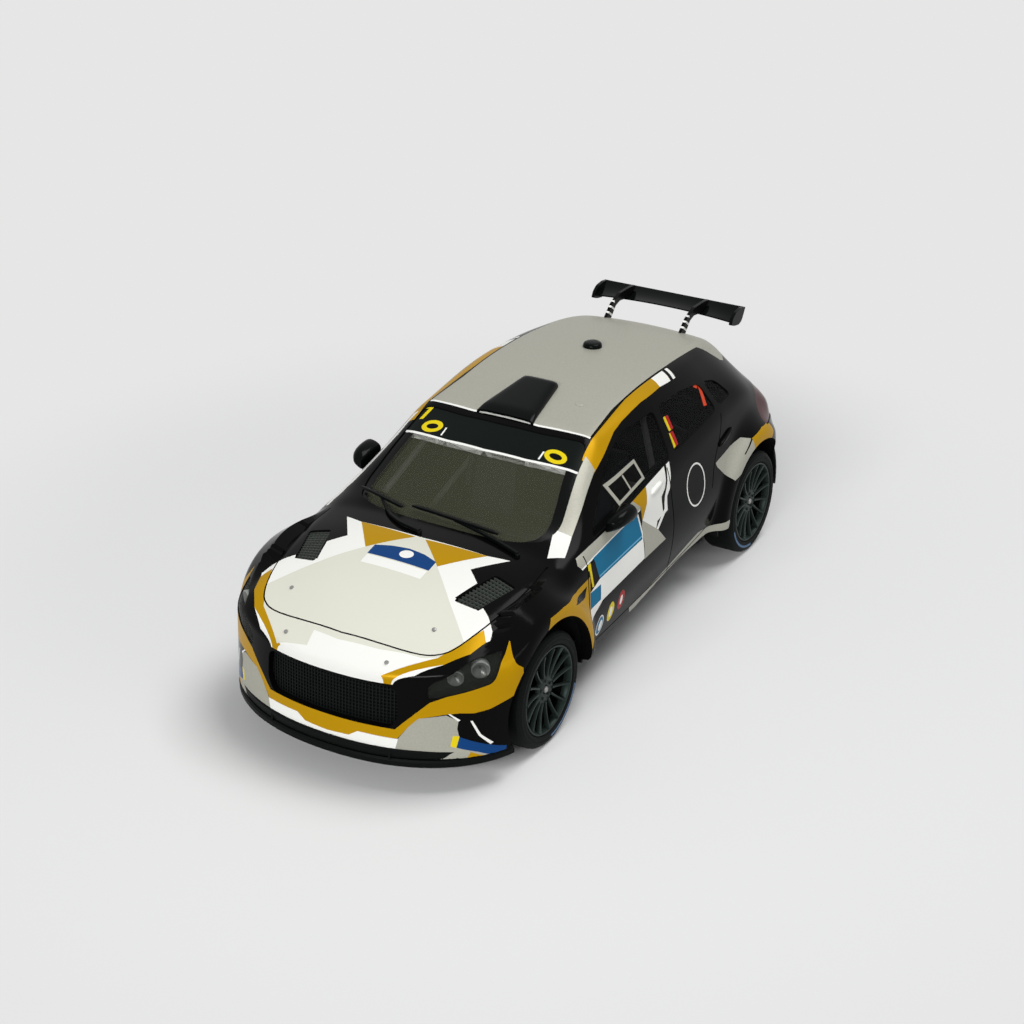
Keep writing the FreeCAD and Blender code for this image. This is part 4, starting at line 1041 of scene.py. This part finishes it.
SCREEN_CLEAR = mirrored(((0.0, -20.9), (4.7, -20.8), (8.8, -20.3), (11.5, -19.5), (12.7, -18.3), (13.2, -16.8),
                         (13.15, -15.2), (12.7, -13.1), (12.0, -10.4), (11.6, -8.6), (0.0, -8.6)))
STRIP_EDGE = ((-20.0, -6.5), (-14.5, -7.7), (-12.8, -8.4), (-6.0, -9.4), (0.0, -9.7), (6.0, -9.4), (12.8, -8.4),
              (14.5, -7.7), (20.0, -6.5))


def opening(name, grow=0.0, reach=None):
    """Prism on an opening's rounded outline, grown by a distance, over its own reach or another."""
    outline, radius, along, *own = OPENINGS[name]
    return prism(offset_outline(rounded(outline, radius), -grow), along, *(reach or own))


# Shut lines, on both sides of the car: the view they are seen in and their path.
SHUT_LINES = (
    ("top", ((0.0, -43.0), (9.6, -42.4), (12.9, -41.2), (14.5, -38.7), (16.0, -33.0), (16.6, -26.0), (16.3, -21.6))),
    ("left", ((-16.4, 20.6), (-16.7, 17.5), (-17.4, 12.0), (-17.8, 7.4))),
    ("left", ((6.9, 23.2), (6.9, 16.0), (6.2, 12.0), (6.3, 7.6))),
    ("left", ((24.0, 24.4), (22.6, 21.5), (20.0, 19.0), (18.6, 15.5))),
    ("left", ((-17.6, 7.3), (-2.0, 7.7), (10.0, 8.6), (17.8, 9.6))),
    ("back", ((0.0, 21.0), (12.9, 21.0), (13.2, 15.2), (11.0, 13.6), (0.0, 13.4))),
    ("back", ((0.0, 29.2), (10.6, 28.6), (12.6, 22.0))),
)


class RALLY_OT_body(bpy.types.Operator):
    """Painted body shell: the skin less its inside, windows, arches, lamp openings and shut lines."""
    bl_idname = "rally.body"
    bl_label = "Body shell"

    def execute(self, context):
        s = context.scene.rally_body
        arches = [prism(circle(ARCH_R, 96) + (y, AXLE_Z), "x", side * 13.0, side * 30.0)
                  for y in (FRONT_Y, REAR_Y) for side in (1, -1)]
        y = np.linspace(-52.0, 52.0, 105)
        edge = np.stack([y, body_lines(y)[0] + 0.28], 1).tolist()
        below = prism(edge + [(52.0, -12.0), (-52.0, -12.0)], "x", -40.0, 40.0)
        lines = [groove(path, view, s.gap_width / MM, s.gap_depth / MM) for view, path in SHUT_LINES]
        shell = carve(skin(0.0, 250, 264, 0.35), inside_of_body(s.wall / MM), join(*arches),
                      join(*[both(opening(name)) for name in SIDE_GLASS],
                           *[opening(name) for name in ("windscreen", "rear_window", "grille")]),
                      join(*[both(opening(name)) for name in ("headlamp", "taillamp", "bonnet_vent")]),
                      below, *[cutter for line in lines for cutter in (line, flip(line))])
        piece("painted_body", shell, ("body paint", "gap black"), "body_shell", 30)
        return {"FINISHED"}


def inside_of_body(wall):
    """The body's inside: the skin moved inward, stretched down below a height so that the shell is open there."""
    verts, faces = skin(wall, 96, 104, 0.35)
    z = verts[:, 2]
    verts[:, 2] = np.where(z < OPEN_Z, OPEN_Z + (z - OPEN_Z) * 5.0, z)
    return closed(verts, faces)


def shell_sheet(inset, thickness):
    """Hollow sheet that follows the body below its surface."""
    return carve(skin(inset, 200, 216), skin(inset + thickness))


class RALLY_OT_windows(bpy.types.Operator):
    """Windscreen with its sun strip and black border, rear window and side windows, flush in their openings."""
    bl_idname = "rally.windows"
    bl_label = "Windows"

    def execute(self, context):
        s = context.scene.rally_body
        sheet = shell_sheet(s.glass_inset / MM, s.glass / MM)
        strip = prism(list(STRIP_EDGE) + [(20.0, 0.0), (-20.0, 0.0)], "z", 19, 45)
        whole = opening("windscreen", -PANE_GAP)
        piece("windscreen_pane", carve(common(sheet, whole), strip), "windscreen clear",
              "windscreen", 40)
        piece("sun_strip", common(common(sheet, whole), strip), "strip black", angle=40)
        pane("rear_pane", common(sheet, opening("rear_window", -PANE_GAP)), "rear_window")
        for label, turn in SIDES:
            openings = join(*[turn(opening(name, -PANE_GAP)) for name in SIDE_GLASS])
            pane(f"side_panes_{label}", common(sheet, openings), f"side_windows_{label}")
        return {"FINISHED"}


def pane(name, mesh, node):
    """Side or rear window, with the marked glass only on the faces that point out to a side."""
    normals, centres = np.empty(len(mesh.polygons) * 3), np.empty(len(mesh.polygons) * 3)
    mesh.polygons.foreach_get("normal", normals)
    mesh.polygons.foreach_get("center", centres)
    inner = normals[::3] * np.sign(centres[::3]) < 0.3
    mesh.polygons.foreach_set("material_index", inner.astype(np.int32))
    piece(name, mesh, ("side clear", "glass back"), node, 40)


class RALLY_OT_lamps(bpy.types.Operator):
    """Headlamps with lens, housing and reflectors, and tail lamps with their lens."""
    bl_idname = "rally.lamps"
    bl_label = "Lamps"

    def execute(self, context):
        front, rear = opening("headlamp", -PANE_GAP), opening("taillamp", -PANE_GAP)
        lens_sheet, pan_sheet = shell_sheet(0.1, 0.55), shell_sheet(1.6, 0.4)
        bowls = join(bowl(-8.4, 15.6, 1.15), bowl(-11.4, 14.9, 1.0))
        for label, turn in SIDES:
            piece(f"headlamp_lens_{label}", common(lens_sheet, turn(front)), "lens clear",
                  f"headlamp_{label}", 40)
            piece(f"taillamp_lens_{label}", common(lens_sheet, turn(rear)), "lens red",
                  f"taillamp_{label}", 40)
            piece(f"headlamp_housing_{label}", common(pan_sheet, turn(front)), "lamp housing", angle=40)
            piece(f"headlamp_bowls_{label}", turn(bowls), "lamp reflector")
        return {"FINISHED"}


def bowl(across, up, radius):
    """Deep reflector behind the headlamp lens, at a place in the lamp's own frame."""
    side, top, ahead = (np.array(d) for d in LAMP_FRAME)
    points = side * across + top * up + ahead * np.linspace(60, 0, 600)[:, None]
    spot = points[(body_field(*points.T) < 0).argmax()]
    flat = circle(1.0, 28)
    rings = [spot - ahead * depth + radius * share * (flat[:, :1] * side + flat[:, 1:] * top) for share, depth in (
        (1.0, 1.0), (1.0, 0.9), (0.86, 0.92), (0.5, 1.3), (0.12, 1.45), (0.12, 1.75), (1.0, 1.75))]
    return tube(np.stack(rings, 1), ring=True)


class RALLY_OT_grilles(bpy.types.Operator):
    """Front grille and bonnet vents: a black back plate and a mesh of fine crossing bars."""
    bl_idname = "rally.grilles"
    bl_label = "Grilles"

    def execute(self, context):
        s = context.scene.rally_fittings
        pitch, section = s.mesh_pitch / MM, rectangle(s.mesh_bar / MM, s.mesh_bar / MM)
        reach = (-60.0, -40.0)
        mesh = common(shell_sheet(1.1, 0.5), opening("grille", -0.02, reach))
        piece("grille_plate", mesh, "gap black", "front_grille")
        z, x = np.linspace(8.2, 14.3, 5), np.linspace(-9.6, 9.6, 17)
        bars = [along_path(onto_body(np.stack([np.full(5, place), z], 1), "front", 0.95), section, (1, 0, 0))
                for place in np.arange(-21, 22) * pitch]
        bars += [along_path(onto_body(np.stack([x, np.full(17, height)], 1), "front", 1.02), section)
                 for height in np.arange(8.5, 14.2, pitch)]
        bars = read_back(*[common(bar, opening("grille", 0.0, reach)) for bar in bars])
        piece("grille_mesh", bars, "mesh black", angle=30)
        plate = shell_sheet(0.55, 0.4)
        corners = [np.array(p) for p in OPENINGS["bonnet_vent"][0]]
        lines = join(*vent_bars(corners, 12, 0.02, 7, 0.32, 0.24),
                     *vent_bars([corners[i] for i in (0, 3, 2, 1)], 6, 0.01, 9, 0.4, 0.2))
        for label, turn in SIDES:
            hole = turn(opening("bonnet_vent", -PANE_GAP, (16.0, 40.0)))
            piece(f"vent_plate_{label}", common(plate, hole), "gap black", f"bonnet_vent_{label}")
            piece(f"vent_mesh_{label}", turn(lines), "vent mesh")
        return {"FINISHED"}


def vent_bars(corners, count, past, points, inset, height):
    """Bars of a bonnet vent, spread from its first side to its third and reaching a share past the other two."""
    a, b, c, d = corners
    share = (np.arange(count) + 0.5)[:, None] / count
    across = np.linspace(-past, 1 + past, points)[:, None]
    return [along_path(onto_body(start + (end - start) * across, "top", inset), rectangle(0.18, height))
            for start, end in zip(a + (d - a) * share, b + (c - b) * share)]


class RALLY_OT_splitter(bpy.types.Operator):
    """Front splitter with its double lip and fences."""
    bl_idname = "rally.splitter"
    bl_label = "Front splitter"

    def execute(self, context):
        lower = along_path(plan_path(0.45, -36.6), (
            (-1.9, 3.42), (-0.25, 3.42), (0.0, 3.65), (0.0, 4.25), (-0.22, 4.5), (-1.9, 4.5)))
        upper = along_path(plan_path(0.22, -37.5), (
            (-1.3, 4.6), (-0.1, 4.6), (0.0, 4.75), (0.0, 5.6), (-0.15, 5.75), (-1.3, 5.75)))
        fence = prism(rounded(((-46.6, 4.3), (-44.6, 4.3), (-44.6, 5.8), (-46.2, 5.8)), 0.3), "x", 8.5, 8.8)
        piece("splitter_lip", join(lower, upper, both(fence)), "satin black", "front_splitter", 35)
        return {"FINISHED"}


def plan_path(grow, y_end):
    """Plan line of the nose from one side to the other, a distance outside the body at splitter height."""
    t = np.linspace(-math.pi / 2, math.pi / 2, 121)
    power = 2 / NOSE_POWER
    x = np.sign(np.sin(t)) * np.abs(np.sin(t)) ** power * (SIDE_X - 0.65 + grow)
    y = NOSE_Y - np.cos(t) ** power * (NOSE_LENGTH + grow) - 0.32
    keep = y <= y_end
    return np.stack([x[keep], y[keep], np.zeros(keep.sum())], 1)


class RALLY_OT_roof(bpy.types.Operator):
    """Roof scoop with its dark mouth, aerial puck and the small round roof disc."""
    bl_idname = "rally.roof"
    bl_label = "Roof fittings"

    def execute(self, context):
        shell = carve(scoop(0.0, SCOOP_FRONT_Y, 5.35), scoop(0.32, -6.0, 2.6))
        piece("roof_scoop", shell, ("gloss black", "gap black"), "roof_vent", 40)
        rings = []
        for share, height in ((1.0, -0.4), (1.0, 0.55), (0.94, 0.8), (0.8, 0.96), (0.5, 1.02), (0.1, 1.04)):
            x, y = (circle(1.0, 40) * (1.35 * share, 1.3 * share)).T
            rings.append(np.stack([x, 19.8 + y, np.full(40, 32.05 + height * 0.85)], 1))
        piece("aerial_puck", tube(np.stack(rings)), "gloss black", "roof_antenna", 50)
        piece("roof_disc", button((7.2, 2.9), 0.62, 0.1, 24, 0.8), "body paint", angle=50)
        return {"FINISHED"}


def button(place, radius, height, steps=16, squash=1.0):
    """Low domed disc lying on the body at a place seen from above."""
    spot = onto_body([place], "top")
    n = slope(spot)[0]
    side = np.cross(n, (0, 1, 0))
    side /= np.linalg.norm(side)
    other = np.cross(n, side)
    flat = circle(1.0, steps)
    rings = [spot + radius * share * (flat[:, :1] * side + squash * flat[:, 1:] * other) + n * (height * rise)
             for share, rise in ((1.0, -1.5), (1.0, 0.55), (0.92, 0.82), (0.7, 0.97), (0.1, 1.0))]
    return tube(np.stack(rings))


SCOOP_FRONT_Y, SCOOP_LENGTH, SCREEN_TOP_Y = -4.35, 9.7, -3.4


def scoop(inset, y_front, y_rear):
    """Scoop form: low arches with round shoulders across the roof, narrower and higher toward the tail."""
    y = np.linspace(y_front, y_rear, 24)
    t = (y - SCOOP_FRONT_Y) / SCOOP_LENGTH
    half = 4.3 + (2.6 - 4.3) * t - inset
    rise = 0.42 + 0.62 * np.sqrt(np.clip(t + 0.08, 0, 1)) - inset
    rise = np.where(t > 0.93, rise * (1 - ((t - 0.93) / 0.07) ** 2 * 0.25), rise)
    turn = np.linspace(0, math.pi, 25)
    x = half[:, None] * np.sign(np.cos(turn)) * np.abs(np.cos(turn)) ** 0.28
    foot = onto_body(np.stack([np.zeros(24), np.clip(y, SCREEN_TOP_Y, 30)], 1), "top")[:, 2]
    drop = np.where(y < SCREEN_TOP_Y, (y - SCREEN_TOP_Y) * 0.32, 0.0)
    z = (foot + drop)[:, None] - (x / 12.4) ** 2 * 0.8 + rise[:, None] * np.sin(turn) ** 0.55
    top = np.stack([x, np.broadcast_to(y[:, None], x.shape), z], -1)
    low = top[:, [-1, 0]] - (0, 0, 0.9)
    return tube(np.concatenate([top, low], 1))


WING_FRONT, WING_REAR, WING_ARCH, WING_SAG = (41.3, 30.3), (45.0, 31.5), 0.55, 0.35
ENDPLATE = ((40.9, 30.3), (42.0, 29.9), (43.5, 29.6), (44.4, 29.9), (44.9, 30.6), (45.6, 31.7), (44.1, 31.95),
            (42.4, 31.8), (41.4, 31.2))
POST_X, POST_HALF = 6.1, 0.24
POST_SIDE = ((34.1, 29.3), (35.8, 28.9), (37.9, 31.1), (39.2, 31.45), (41.4, 31.1), (44.0, 31.7), (44.2, 32.3),
             (42.5, 32.5), (39.4, 32.6), (38.1, 32.2), (36.9, 31.7))


class RALLY_OT_wing(bpy.types.Operator):
    """Rear wing: a hollow-faced blade with an arched front edge and end plates, hung from two swan-neck arms."""
    bl_idname = "rally.wing"
    bl_label = "Rear wing"

    def execute(self, context):
        span = context.scene.rally_fittings.wing_span / MM
        (y0, z0), (y1, z1) = WING_FRONT, WING_REAR
        x = np.linspace(-span / 2 + 0.15, span / 2 - 0.15, 41)
        lead = z0 + WING_ARCH * (1 - (2 * x / span) ** 2)
        u = np.linspace(0, 1, 17)
        half = 0.27 * np.sqrt(np.sin(math.pi * np.clip(u * 0.92 + 0.04, 0, 1)))
        middle = lead[:, None] + (z1 - lead[:, None]) * u - 4 * WING_SAG * u * (1 - u) + 0.28
        y = np.broadcast_to(y0 + (y1 - y0) * u, middle.shape)
        upper, lower = np.stack([y, middle + half], -1), np.stack([y, middle - half], -1)
        rings = np.concatenate([np.broadcast_to(x[:, None, None], (len(x), 2 * len(u), 1)),
                                np.concatenate([upper, lower[:, ::-1]], 1)], 2)
        plates = both(prism(rounded(ENDPLATE, 0.3), "x", span / 2 - 0.5, span / 2))
        piece("wing_blade", join(tube(rings), plates), "gloss black", "rear_wing", 35)
        leg = prism(rounded(POST_SIDE, 0.25), "x", POST_X - POST_HALF, POST_X + POST_HALF)
        leg = read_back(carve(leg, skin(0.15)))
        for label, turn in SIDES:
            piece(f"wing_leg_{label}", turn(leg), "post paint", f"wing_post_{label}", 40)
        return {"FINISHED"}


MIRROR_FACE = ((18.3, 20.8), (19.3, 21.2), (20.3, 21.8), (21.0, 22.4), (21.0, 23.5), (20.3, 24.1), (19.3, 24.0),
               (18.3, 23.5))
MIRROR_MIDDLE = (18.9, 22.1)
MIRROR_RINGS = np.array((      # place along the car and share of the face
    (-10.9, 0.42), (-10.75, 0.52), (-10.4, 0.66), (-9.9, 0.79), (-9.2, 0.89), (-8.4, 0.95), (-7.5, 0.98),
    (-6.75, 0.98), (-6.5, 0.95)))


class RALLY_OT_mirrors(bpy.types.Operator):
    """Door mirrors: a swept pod with a bright glass at its back, cut off where it meets the door."""
    bl_idname = "rally.mirrors"
    bl_label = "Door mirrors"

    def execute(self, context):
        y, share = MIRROR_RINGS.T
        outline = rounded(MIRROR_FACE, 0.55, 5)
        rings = np.zeros((len(y), len(outline), 3))
        rings[..., 1] = y[:, None]
        rings[:, :, [0, 2]] = MIRROR_MIDDLE + (outline - MIRROR_MIDDLE) * share[:, None, None]
        pod = read_back(carve(tube(rings), skin(0.25)))
        glass = prism(MIRROR_MIDDLE + (outline - MIRROR_MIDDLE) * 0.8 + (0.35, 0.08), "y", -6.52, -6.42)
        for label, turn in SIDES:
            piece(f"mirror_pod_{label}", turn(pod), "gloss black", f"mirror_{label}", 40)
            piece(f"mirror_glass_{label}", turn(glass), "bright metal")
        return {"FINISHED"}


WIPERS = (      # name, path of the blade and path of the arm, seen from above
    ("left", ((-4.8, -19.6), (2.0, -20.05), (8.3, -20.2)), ((1.8, -20.0), (7.5, -20.9), (12.4, -22.3))),
    ("right", ((-14.1, -17.5), (-10.2, -19.0), (-6.0, -20.1)), ((-10.0, -19.0), (-5.4, -23.0), (-0.8, -24.2))),
)


class RALLY_OT_wipers(bpy.types.Operator):
    """Two wipers lying over the foot of the windscreen, with arms, knuckles and blades."""
    bl_idname = "rally.wipers"
    bl_label = "Wipers"

    def execute(self, context):
        width = context.scene.rally_fittings.wiper_width / MM
        for label, blade, arm in WIPERS:
            parts = [along_path(onto_body(smooth_path(path, len(scale)), "top") + (0, 0, lift),
                                rectangle(width, width), scale=scale)
                     for path, scale, lift in ((blade, np.array([0.6] + [1.0] * 12 + [0.6]), 0.5),
                                               (arm, np.linspace(0.8, 1.2, 12), 0.36))]
            parts.append(button(arm[-1], 0.32, 0.45))
            piece(f"wiper_arm_{label}", join(*parts), "satin black", f"wiper_{label}", 40)
        return {"FINISHED"}


class RALLY_OT_trim(bpy.types.Operator):
    """Small fittings: bonnet pins, door handles and arch liners."""
    bl_idname = "rally.trim"
    bl_label = "Small fittings"

    def execute(self, context):
        pins = [both(button(place, 0.28, 0.16)) for place in ((10.4, -38.6), (7.3, -44.3))]
        piece("bonnet_pins", join(*pins), "bright metal")
        section = rounded(rectangle(0.6, 0.68), 0.2, 4)
        scale = np.sqrt(np.clip(1 - np.linspace(-0.98, 0.98, 11) ** 4, 0.02, 1))
        handles = []
        for y, z, half, rise in ((3.2, 21.9, 1.5, 0.2), (24.2, 20.9, 2.3, 0.5)):
            line = np.stack([np.linspace(y - half, y + half, 11), np.linspace(z - rise, z + rise, 11)], 1)
            handles.append(both(along_path(onto_body(line, "left", -0.12), section, scale=scale)))
        piece("door_handles", join(*handles), "body paint", angle=40)
        liners = [both(arch_band(axle, band)) for axle in (FRONT_Y, REAR_Y)
                  for band in ((13.9, 19.3, 9.85, 10.2), (13.9, 14.25, 1.6, 10.2))]
        piece("arch_liners", join(*liners), "chassis plastic", angle=30)
        return {"FINISHED"}


def arch_band(axle, band):
    """Arched band over a wheel, between two x and two radii."""
    x_in, x_out, r_in, r_out = band
    t = np.linspace(math.radians(-8), math.radians(188), 40)[:, None]
    r = np.array((r_in, r_in, r_out, r_out))
    x = np.broadcast_to((x_in, x_out, x_out, x_in), (len(t), 4))
    return tube(np.stack([x, axle + r * np.cos(t), AXLE_Z + r * np.sin(t)], -1))


WHEEL_FACE_X, WHEEL_INNER_X = 20.3, 15.1
TYRE_SHOULDER = (      # x inward of the outer face and radius inward of the tread, from the tread to the side wall
    (0.85, 0.0), (0.5, 0.08), (0.22, 0.3), (0.08, 0.62), (0.04, 0.66), (0.02, 0.95), (0.07, 1.0), (0.05, 1.04))
TYRE_BEAD = ((0.0, -0.45), (0.05, -0.18), (0.2, -0.04), (0.45, 0.03))      # then radius inward of the rim's
RIM_LIP = ((0.28, 0.02), (0.14, 0.1), (0.14, 0.3), (0.3, 0.42), (0.9, 0.5), (4.5, 0.6), (4.6, 0.02))
HUB = ((0.95, 0.05), (0.95, 0.5), (0.75, 0.62), (0.7, 1.75), (0.85, 2.0), (1.3, 2.1), (1.8, 2.1), (1.8, 0.05))
DISC = ((2.2, 0.9), (2.2, 4.4), (2.5, 4.4), (2.5, 0.9))


class RALLY_OT_wheels(bpy.types.Operator):
    """Four wheels: lathed tyres with ringed side walls, and spoked rims with hub, bolts, nut and brake disc."""
    bl_idname = "rally.wheels"
    bl_label = "Wheels"

    def execute(self, context):
        s = context.scene.rally_wheels
        tyre_r, rim_r = s.tyre_radius / MM, s.rim_radius / MM
        inner = WHEEL_INNER_X
        tyre = [(inner + 0.45, rim_r - 0.05), (inner + 0.05, rim_r + 0.25), (inner, rim_r + 0.8),
                (inner + 0.12, tyre_r - 0.5), (inner + 0.4, tyre_r - 0.14), (inner + 0.8, tyre_r),
                *from_face(TYRE_SHOULDER, tyre_r), *from_face(TYRE_BEAD, rim_r)]
        for end, y in (("front", FRONT_Y), ("rear", REAR_Y)):
            rubber, disc = lathe(tyre, y, 120), lathe(from_face(DISC), y, 60)
            nut = peg(y, 0.0, circle(1, 12), ((1.2, 0.42), (0.62, 0.42), (0.5, 0.3)))
            bolts = [peg(y, math.tau * k / 5, circle(0.2, 6), ((1.0, 1.0), (0.58, 1.0), (0.52, 0.7)), 1.2)
                     for k in range(5)]
            wheel = join(lathe(from_face(RIM_LIP, rim_r), y, 120), lathe(from_face(HUB), y, 48),
                         *spokes(y, rim_r, s.spokes), *bolts)
            for label, turn in SIDES:
                for name, solid, look, slot, node, angle in (
                        ("rubber", rubber, "tyre rubber", "tyre_rubber", "tyre", 25),
                        ("wheel", wheel, "rim paint", "rim_paint", "rim", 35),
                        ("hub_nut", nut, "bright metal", "axle_steel", "", 35),
                        ("brake_disc", disc, "satin black", "axle_steel", "", 35)):
                    piece(f"{name}_{end}_{label}", turn(solid), look, node and f"{node}_{end}_{label}", angle,
                          f"{end}_axle")
        return {"FINISHED"}


def from_face(profile, radius=None):
    """Profile (x, radius) from rows inward of the wheel's outer face, and inward of a radius where one is given."""
    return [(WHEEL_FACE_X - x, r if radius is None else radius - r) for x, r in profile]


def peg(y, angle, outline, steps, reach=0.0):
    """Small peg in the hub at an angle round the axle: an outline scaled at steps inward of the outer face."""
    centre = np.array([0, y + reach * math.sin(angle), AXLE_Z + reach * math.cos(angle)])
    return tube(np.stack([centre + np.insert(outline * share, 0, WHEEL_FACE_X - x, axis=1) for x, share in steps]))


def spokes(y, rim_r, count):
    """Straight spokes from the hub to the rim, wider at both ends, that lean outward to the rim."""
    reach = np.linspace(1.8, rim_r - 0.35, 7)
    t = (reach - reach[0]) / (reach[-1] - reach[0])
    depth = WHEEL_FACE_X - 0.95 + 0.57 * t
    section = rounded(((-0.2, -0.34), (0.2, -0.34), (0.13, 0.3), (-0.13, 0.3)), 0.06, 3)
    scale = 1.25 - 0.5 * np.sin(math.pi * np.clip(t, 0.02, 0.98)) ** 0.7
    bars = []
    for k in range(count):
        a = math.tau * (k + 0.5) / count
        path = np.stack([depth, y + reach * math.sin(a), AXLE_Z + reach * math.cos(a)], 1)
        bars.append(along_path(path, section, (1, 0, 0), scale))
    return bars


NODE_FINISHES = {      # finishes of the nodes that keep their own shape
    "chassis_plate": "chassis plastic", "rear_diffuser": "satin black", "cabin_tub": "cabin plastic",
    "dashboard": "cabin plastic", "steering_wheel": "satin black", "seat_left": "seat plastic",
    "seat_right": "seat plastic", "roll_cage": "cage paint", "axle_front": "axle steel", "axle_rear": "axle steel",
}


class RALLY_OT_cabin(bpy.types.Operator):
    """Finishes of the chassis, cabin and axles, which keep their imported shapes."""
    bl_idname = "rally.cabin"
    bl_label = "Cabin and chassis"

    def execute(self, context):
        for node, name in NODE_FINISHES.items():
            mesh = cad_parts[node].data
            mesh.materials.clear()
            mesh.materials.append(use(name))
        return {"FINISHED"}


AMBIENT, BACKDROP = (0.18, 0.183, 0.186, 1.0), (230, 230, 230)
LAMPS = (      # name, place, size, power and aim
    ("key", (0.1, -0.75, 0.38), (0.5, 0.12), 4.4, (0, 0, 0)),
    ("top", (0.24, 0.3, 0.9), (0.5, 0.5), 5.2, (0, 0, 0.01)),
    ("side", (0.8, -0.1, 0.32), (0.4, 0.1), 0.45, (0, 0, 0.015)),
)
CAMERA_LENS, CAMERA_SENSOR, CAMERA_CLIP = 73.63, 36.0, (0.01, 20.0)
CAMERA_AXES = (0.8625, 0.506, -0.0051), (-0.2243, 0.3914, 0.8925), (0.4536, -0.7686, 0.4511)      # right, up, back
CAMERA_PLACE = (0.1283, -0.22, 0.1437)
FLOOR_RADII, FLOOR_FADE = (0.02, 0.2, 1.0, 4.0), (0.06, 0.11)


class RALLY_OT_stage(bpy.types.Operator):
    """Pale floor, soft lights, world and camera."""
    bl_idname = "rally.stage"
    bl_label = "Stage"

    def execute(self, context):
        scene = context.scene
        scene.view_settings.view_transform = "Standard"
        rings = np.stack([np.insert(circle(radius, 64), 2, 0.0, axis=1) for radius in FLOOR_RADII])
        mesh = to_mesh("floor", (rings.reshape(-1, 3),
                                 quads(4, 64, wrap_cols=True)[:, ::-1].tolist() + [list(range(64))]))
        mesh.materials.append(floor_finish())
        stand("floor", mesh, Matrix())
        world = bpy.data.worlds.new("studio")
        world.use_nodes = True
        scene.world = world
        back = world.node_tree.nodes["Background"]
        feed(world.node_tree, back.inputs["Color"], pale_light(world.node_tree))
        feed(world.node_tree, back.inputs["Strength"], 1.0)
        for name, place, size, power, aim in LAMPS:
            light = bpy.data.lights.new(name, "AREA")
            light.shape = "RECTANGLE"
            light.size, light.size_y = size
            light.energy = power
            stand(name, light, look_from(place, aim))
        camera = bpy.data.cameras.new("camera")
        camera.lens, camera.sensor_width = CAMERA_LENS, CAMERA_SENSOR
        camera.clip_start, camera.clip_end = CAMERA_CLIP
        scene.camera = stand("camera", camera, placed(CAMERA_AXES, CAMERA_PLACE))
        return {"FINISHED"}


def stand(name, data, matrix):
    """New object of the stage, placed by a matrix."""
    obj = bpy.data.objects.new(name, data)
    bpy.context.scene.collection.objects.link(obj)
    obj.matrix_world = matrix
    return obj


def placed(axes, place):
    """Matrix of an object with its right, up and back axes and its place."""
    matrix = Matrix(axes).transposed().to_4x4()
    matrix.translation = place
    return matrix


def look_from(place, aim):
    """Matrix of a lamp at a place that shines at a point."""
    back = np.array(place, float) - np.array(aim, float)
    back /= np.linalg.norm(back)
    right = np.cross((0, 0, 1), back)
    right /= np.linalg.norm(right)
    return placed((right, np.cross(back, right), back), place)


def pale_light(tree):
    """The backdrop's colour for camera, glossy and transmission rays, and the ambient light for the others."""
    path = tree.nodes.new("ShaderNodeLightPath")
    both_rays = maths(tree, "MAXIMUM", path.outputs["Is Camera Ray"], path.outputs["Is Glossy Ray"])
    seen = maths(tree, "MAXIMUM", both_rays, path.outputs["Is Transmission Ray"])
    return blend_colour(tree, seen, AMBIENT, colour(*BACKDROP))


def floor_finish():
    """Pale floor that takes the object's shadow near it and turns into the backdrop's own colour farther out."""
    material, tree, shader = finish("pale floor", Roughness=0.9, Base_Color=colour(236, 236, 236),
                                    Specular_IOR_Level=0.1)
    grain(tree, shader, 90.0, 0.02, 0.0002)
    far = put(tree, "VectorMath", put(tree, "TexCoord", out=3), operation="LENGTH", out=1)
    fade = put(tree, "MapRange", far, *FLOOR_FADE, 0.0, 1.0, interpolation_type="SMOOTHSTEP")
    glow = put(tree, "Emission", pale_light(tree))
    surface = put(tree, "MixShader", fade)
    tree.links.new(shader.outputs[0], surface.node.inputs[1])
    tree.links.new(glow, surface.node.inputs[2])
    tree.links.new(surface, tree.nodes["Material Output"].inputs["Surface"])
    return material


# ---- panel, registering and building -------------------------------------------------------------------------------
PIECES = (RALLY_OT_stage, RALLY_OT_body, RALLY_OT_windows, RALLY_OT_lamps, RALLY_OT_grilles, RALLY_OT_splitter,
          RALLY_OT_roof, RALLY_OT_wing, RALLY_OT_mirrors, RALLY_OT_wipers, RALLY_OT_trim, RALLY_OT_wheels,
          RALLY_OT_cabin)
GROUPS = {"rally_body": RallyBodySizes, "rally_fittings": RallyFittingSizes, "rally_wheels": RallyWheelSizes,
          "rally_colours": RallyColours}


class RALLY_PT_panel(bpy.types.Panel):
    """Sizes, colours and pieces of the rally car."""
    bl_idname = "RALLY_PT_panel"
    bl_label = "Rally Car"
    bl_space_type = "VIEW_3D"
    bl_region_type = "UI"
    bl_category = "Rally Car"

    def draw(self, context):
        for name, group in GROUPS.items():
            column = self.layout.column(align=True)
            for field in group.__annotations__:
                column.prop(getattr(context.scene, name), field)
        for operator in PIECES:
            self.layout.operator(operator.bl_idname)


def register():
    for cls in (*GROUPS.values(), *PIECES, RALLY_PT_panel):
        bpy.utils.register_class(cls)
    for name, group in GROUPS.items():
        setattr(bpy.types.Scene, name, PointerProperty(type=group))


def unregister():
    for name in GROUPS:
        delattr(bpy.types.Scene, name)
    for cls in (RALLY_PT_panel, *PIECES[::-1], *list(GROUPS.values())[::-1]):
        bpy.utils.unregister_class(cls)


def main():
    register()
    for operator in PIECES:
        getattr(bpy.ops.rally, operator.bl_idname.split(".")[1])()


if __name__ == "__main__":
    main()
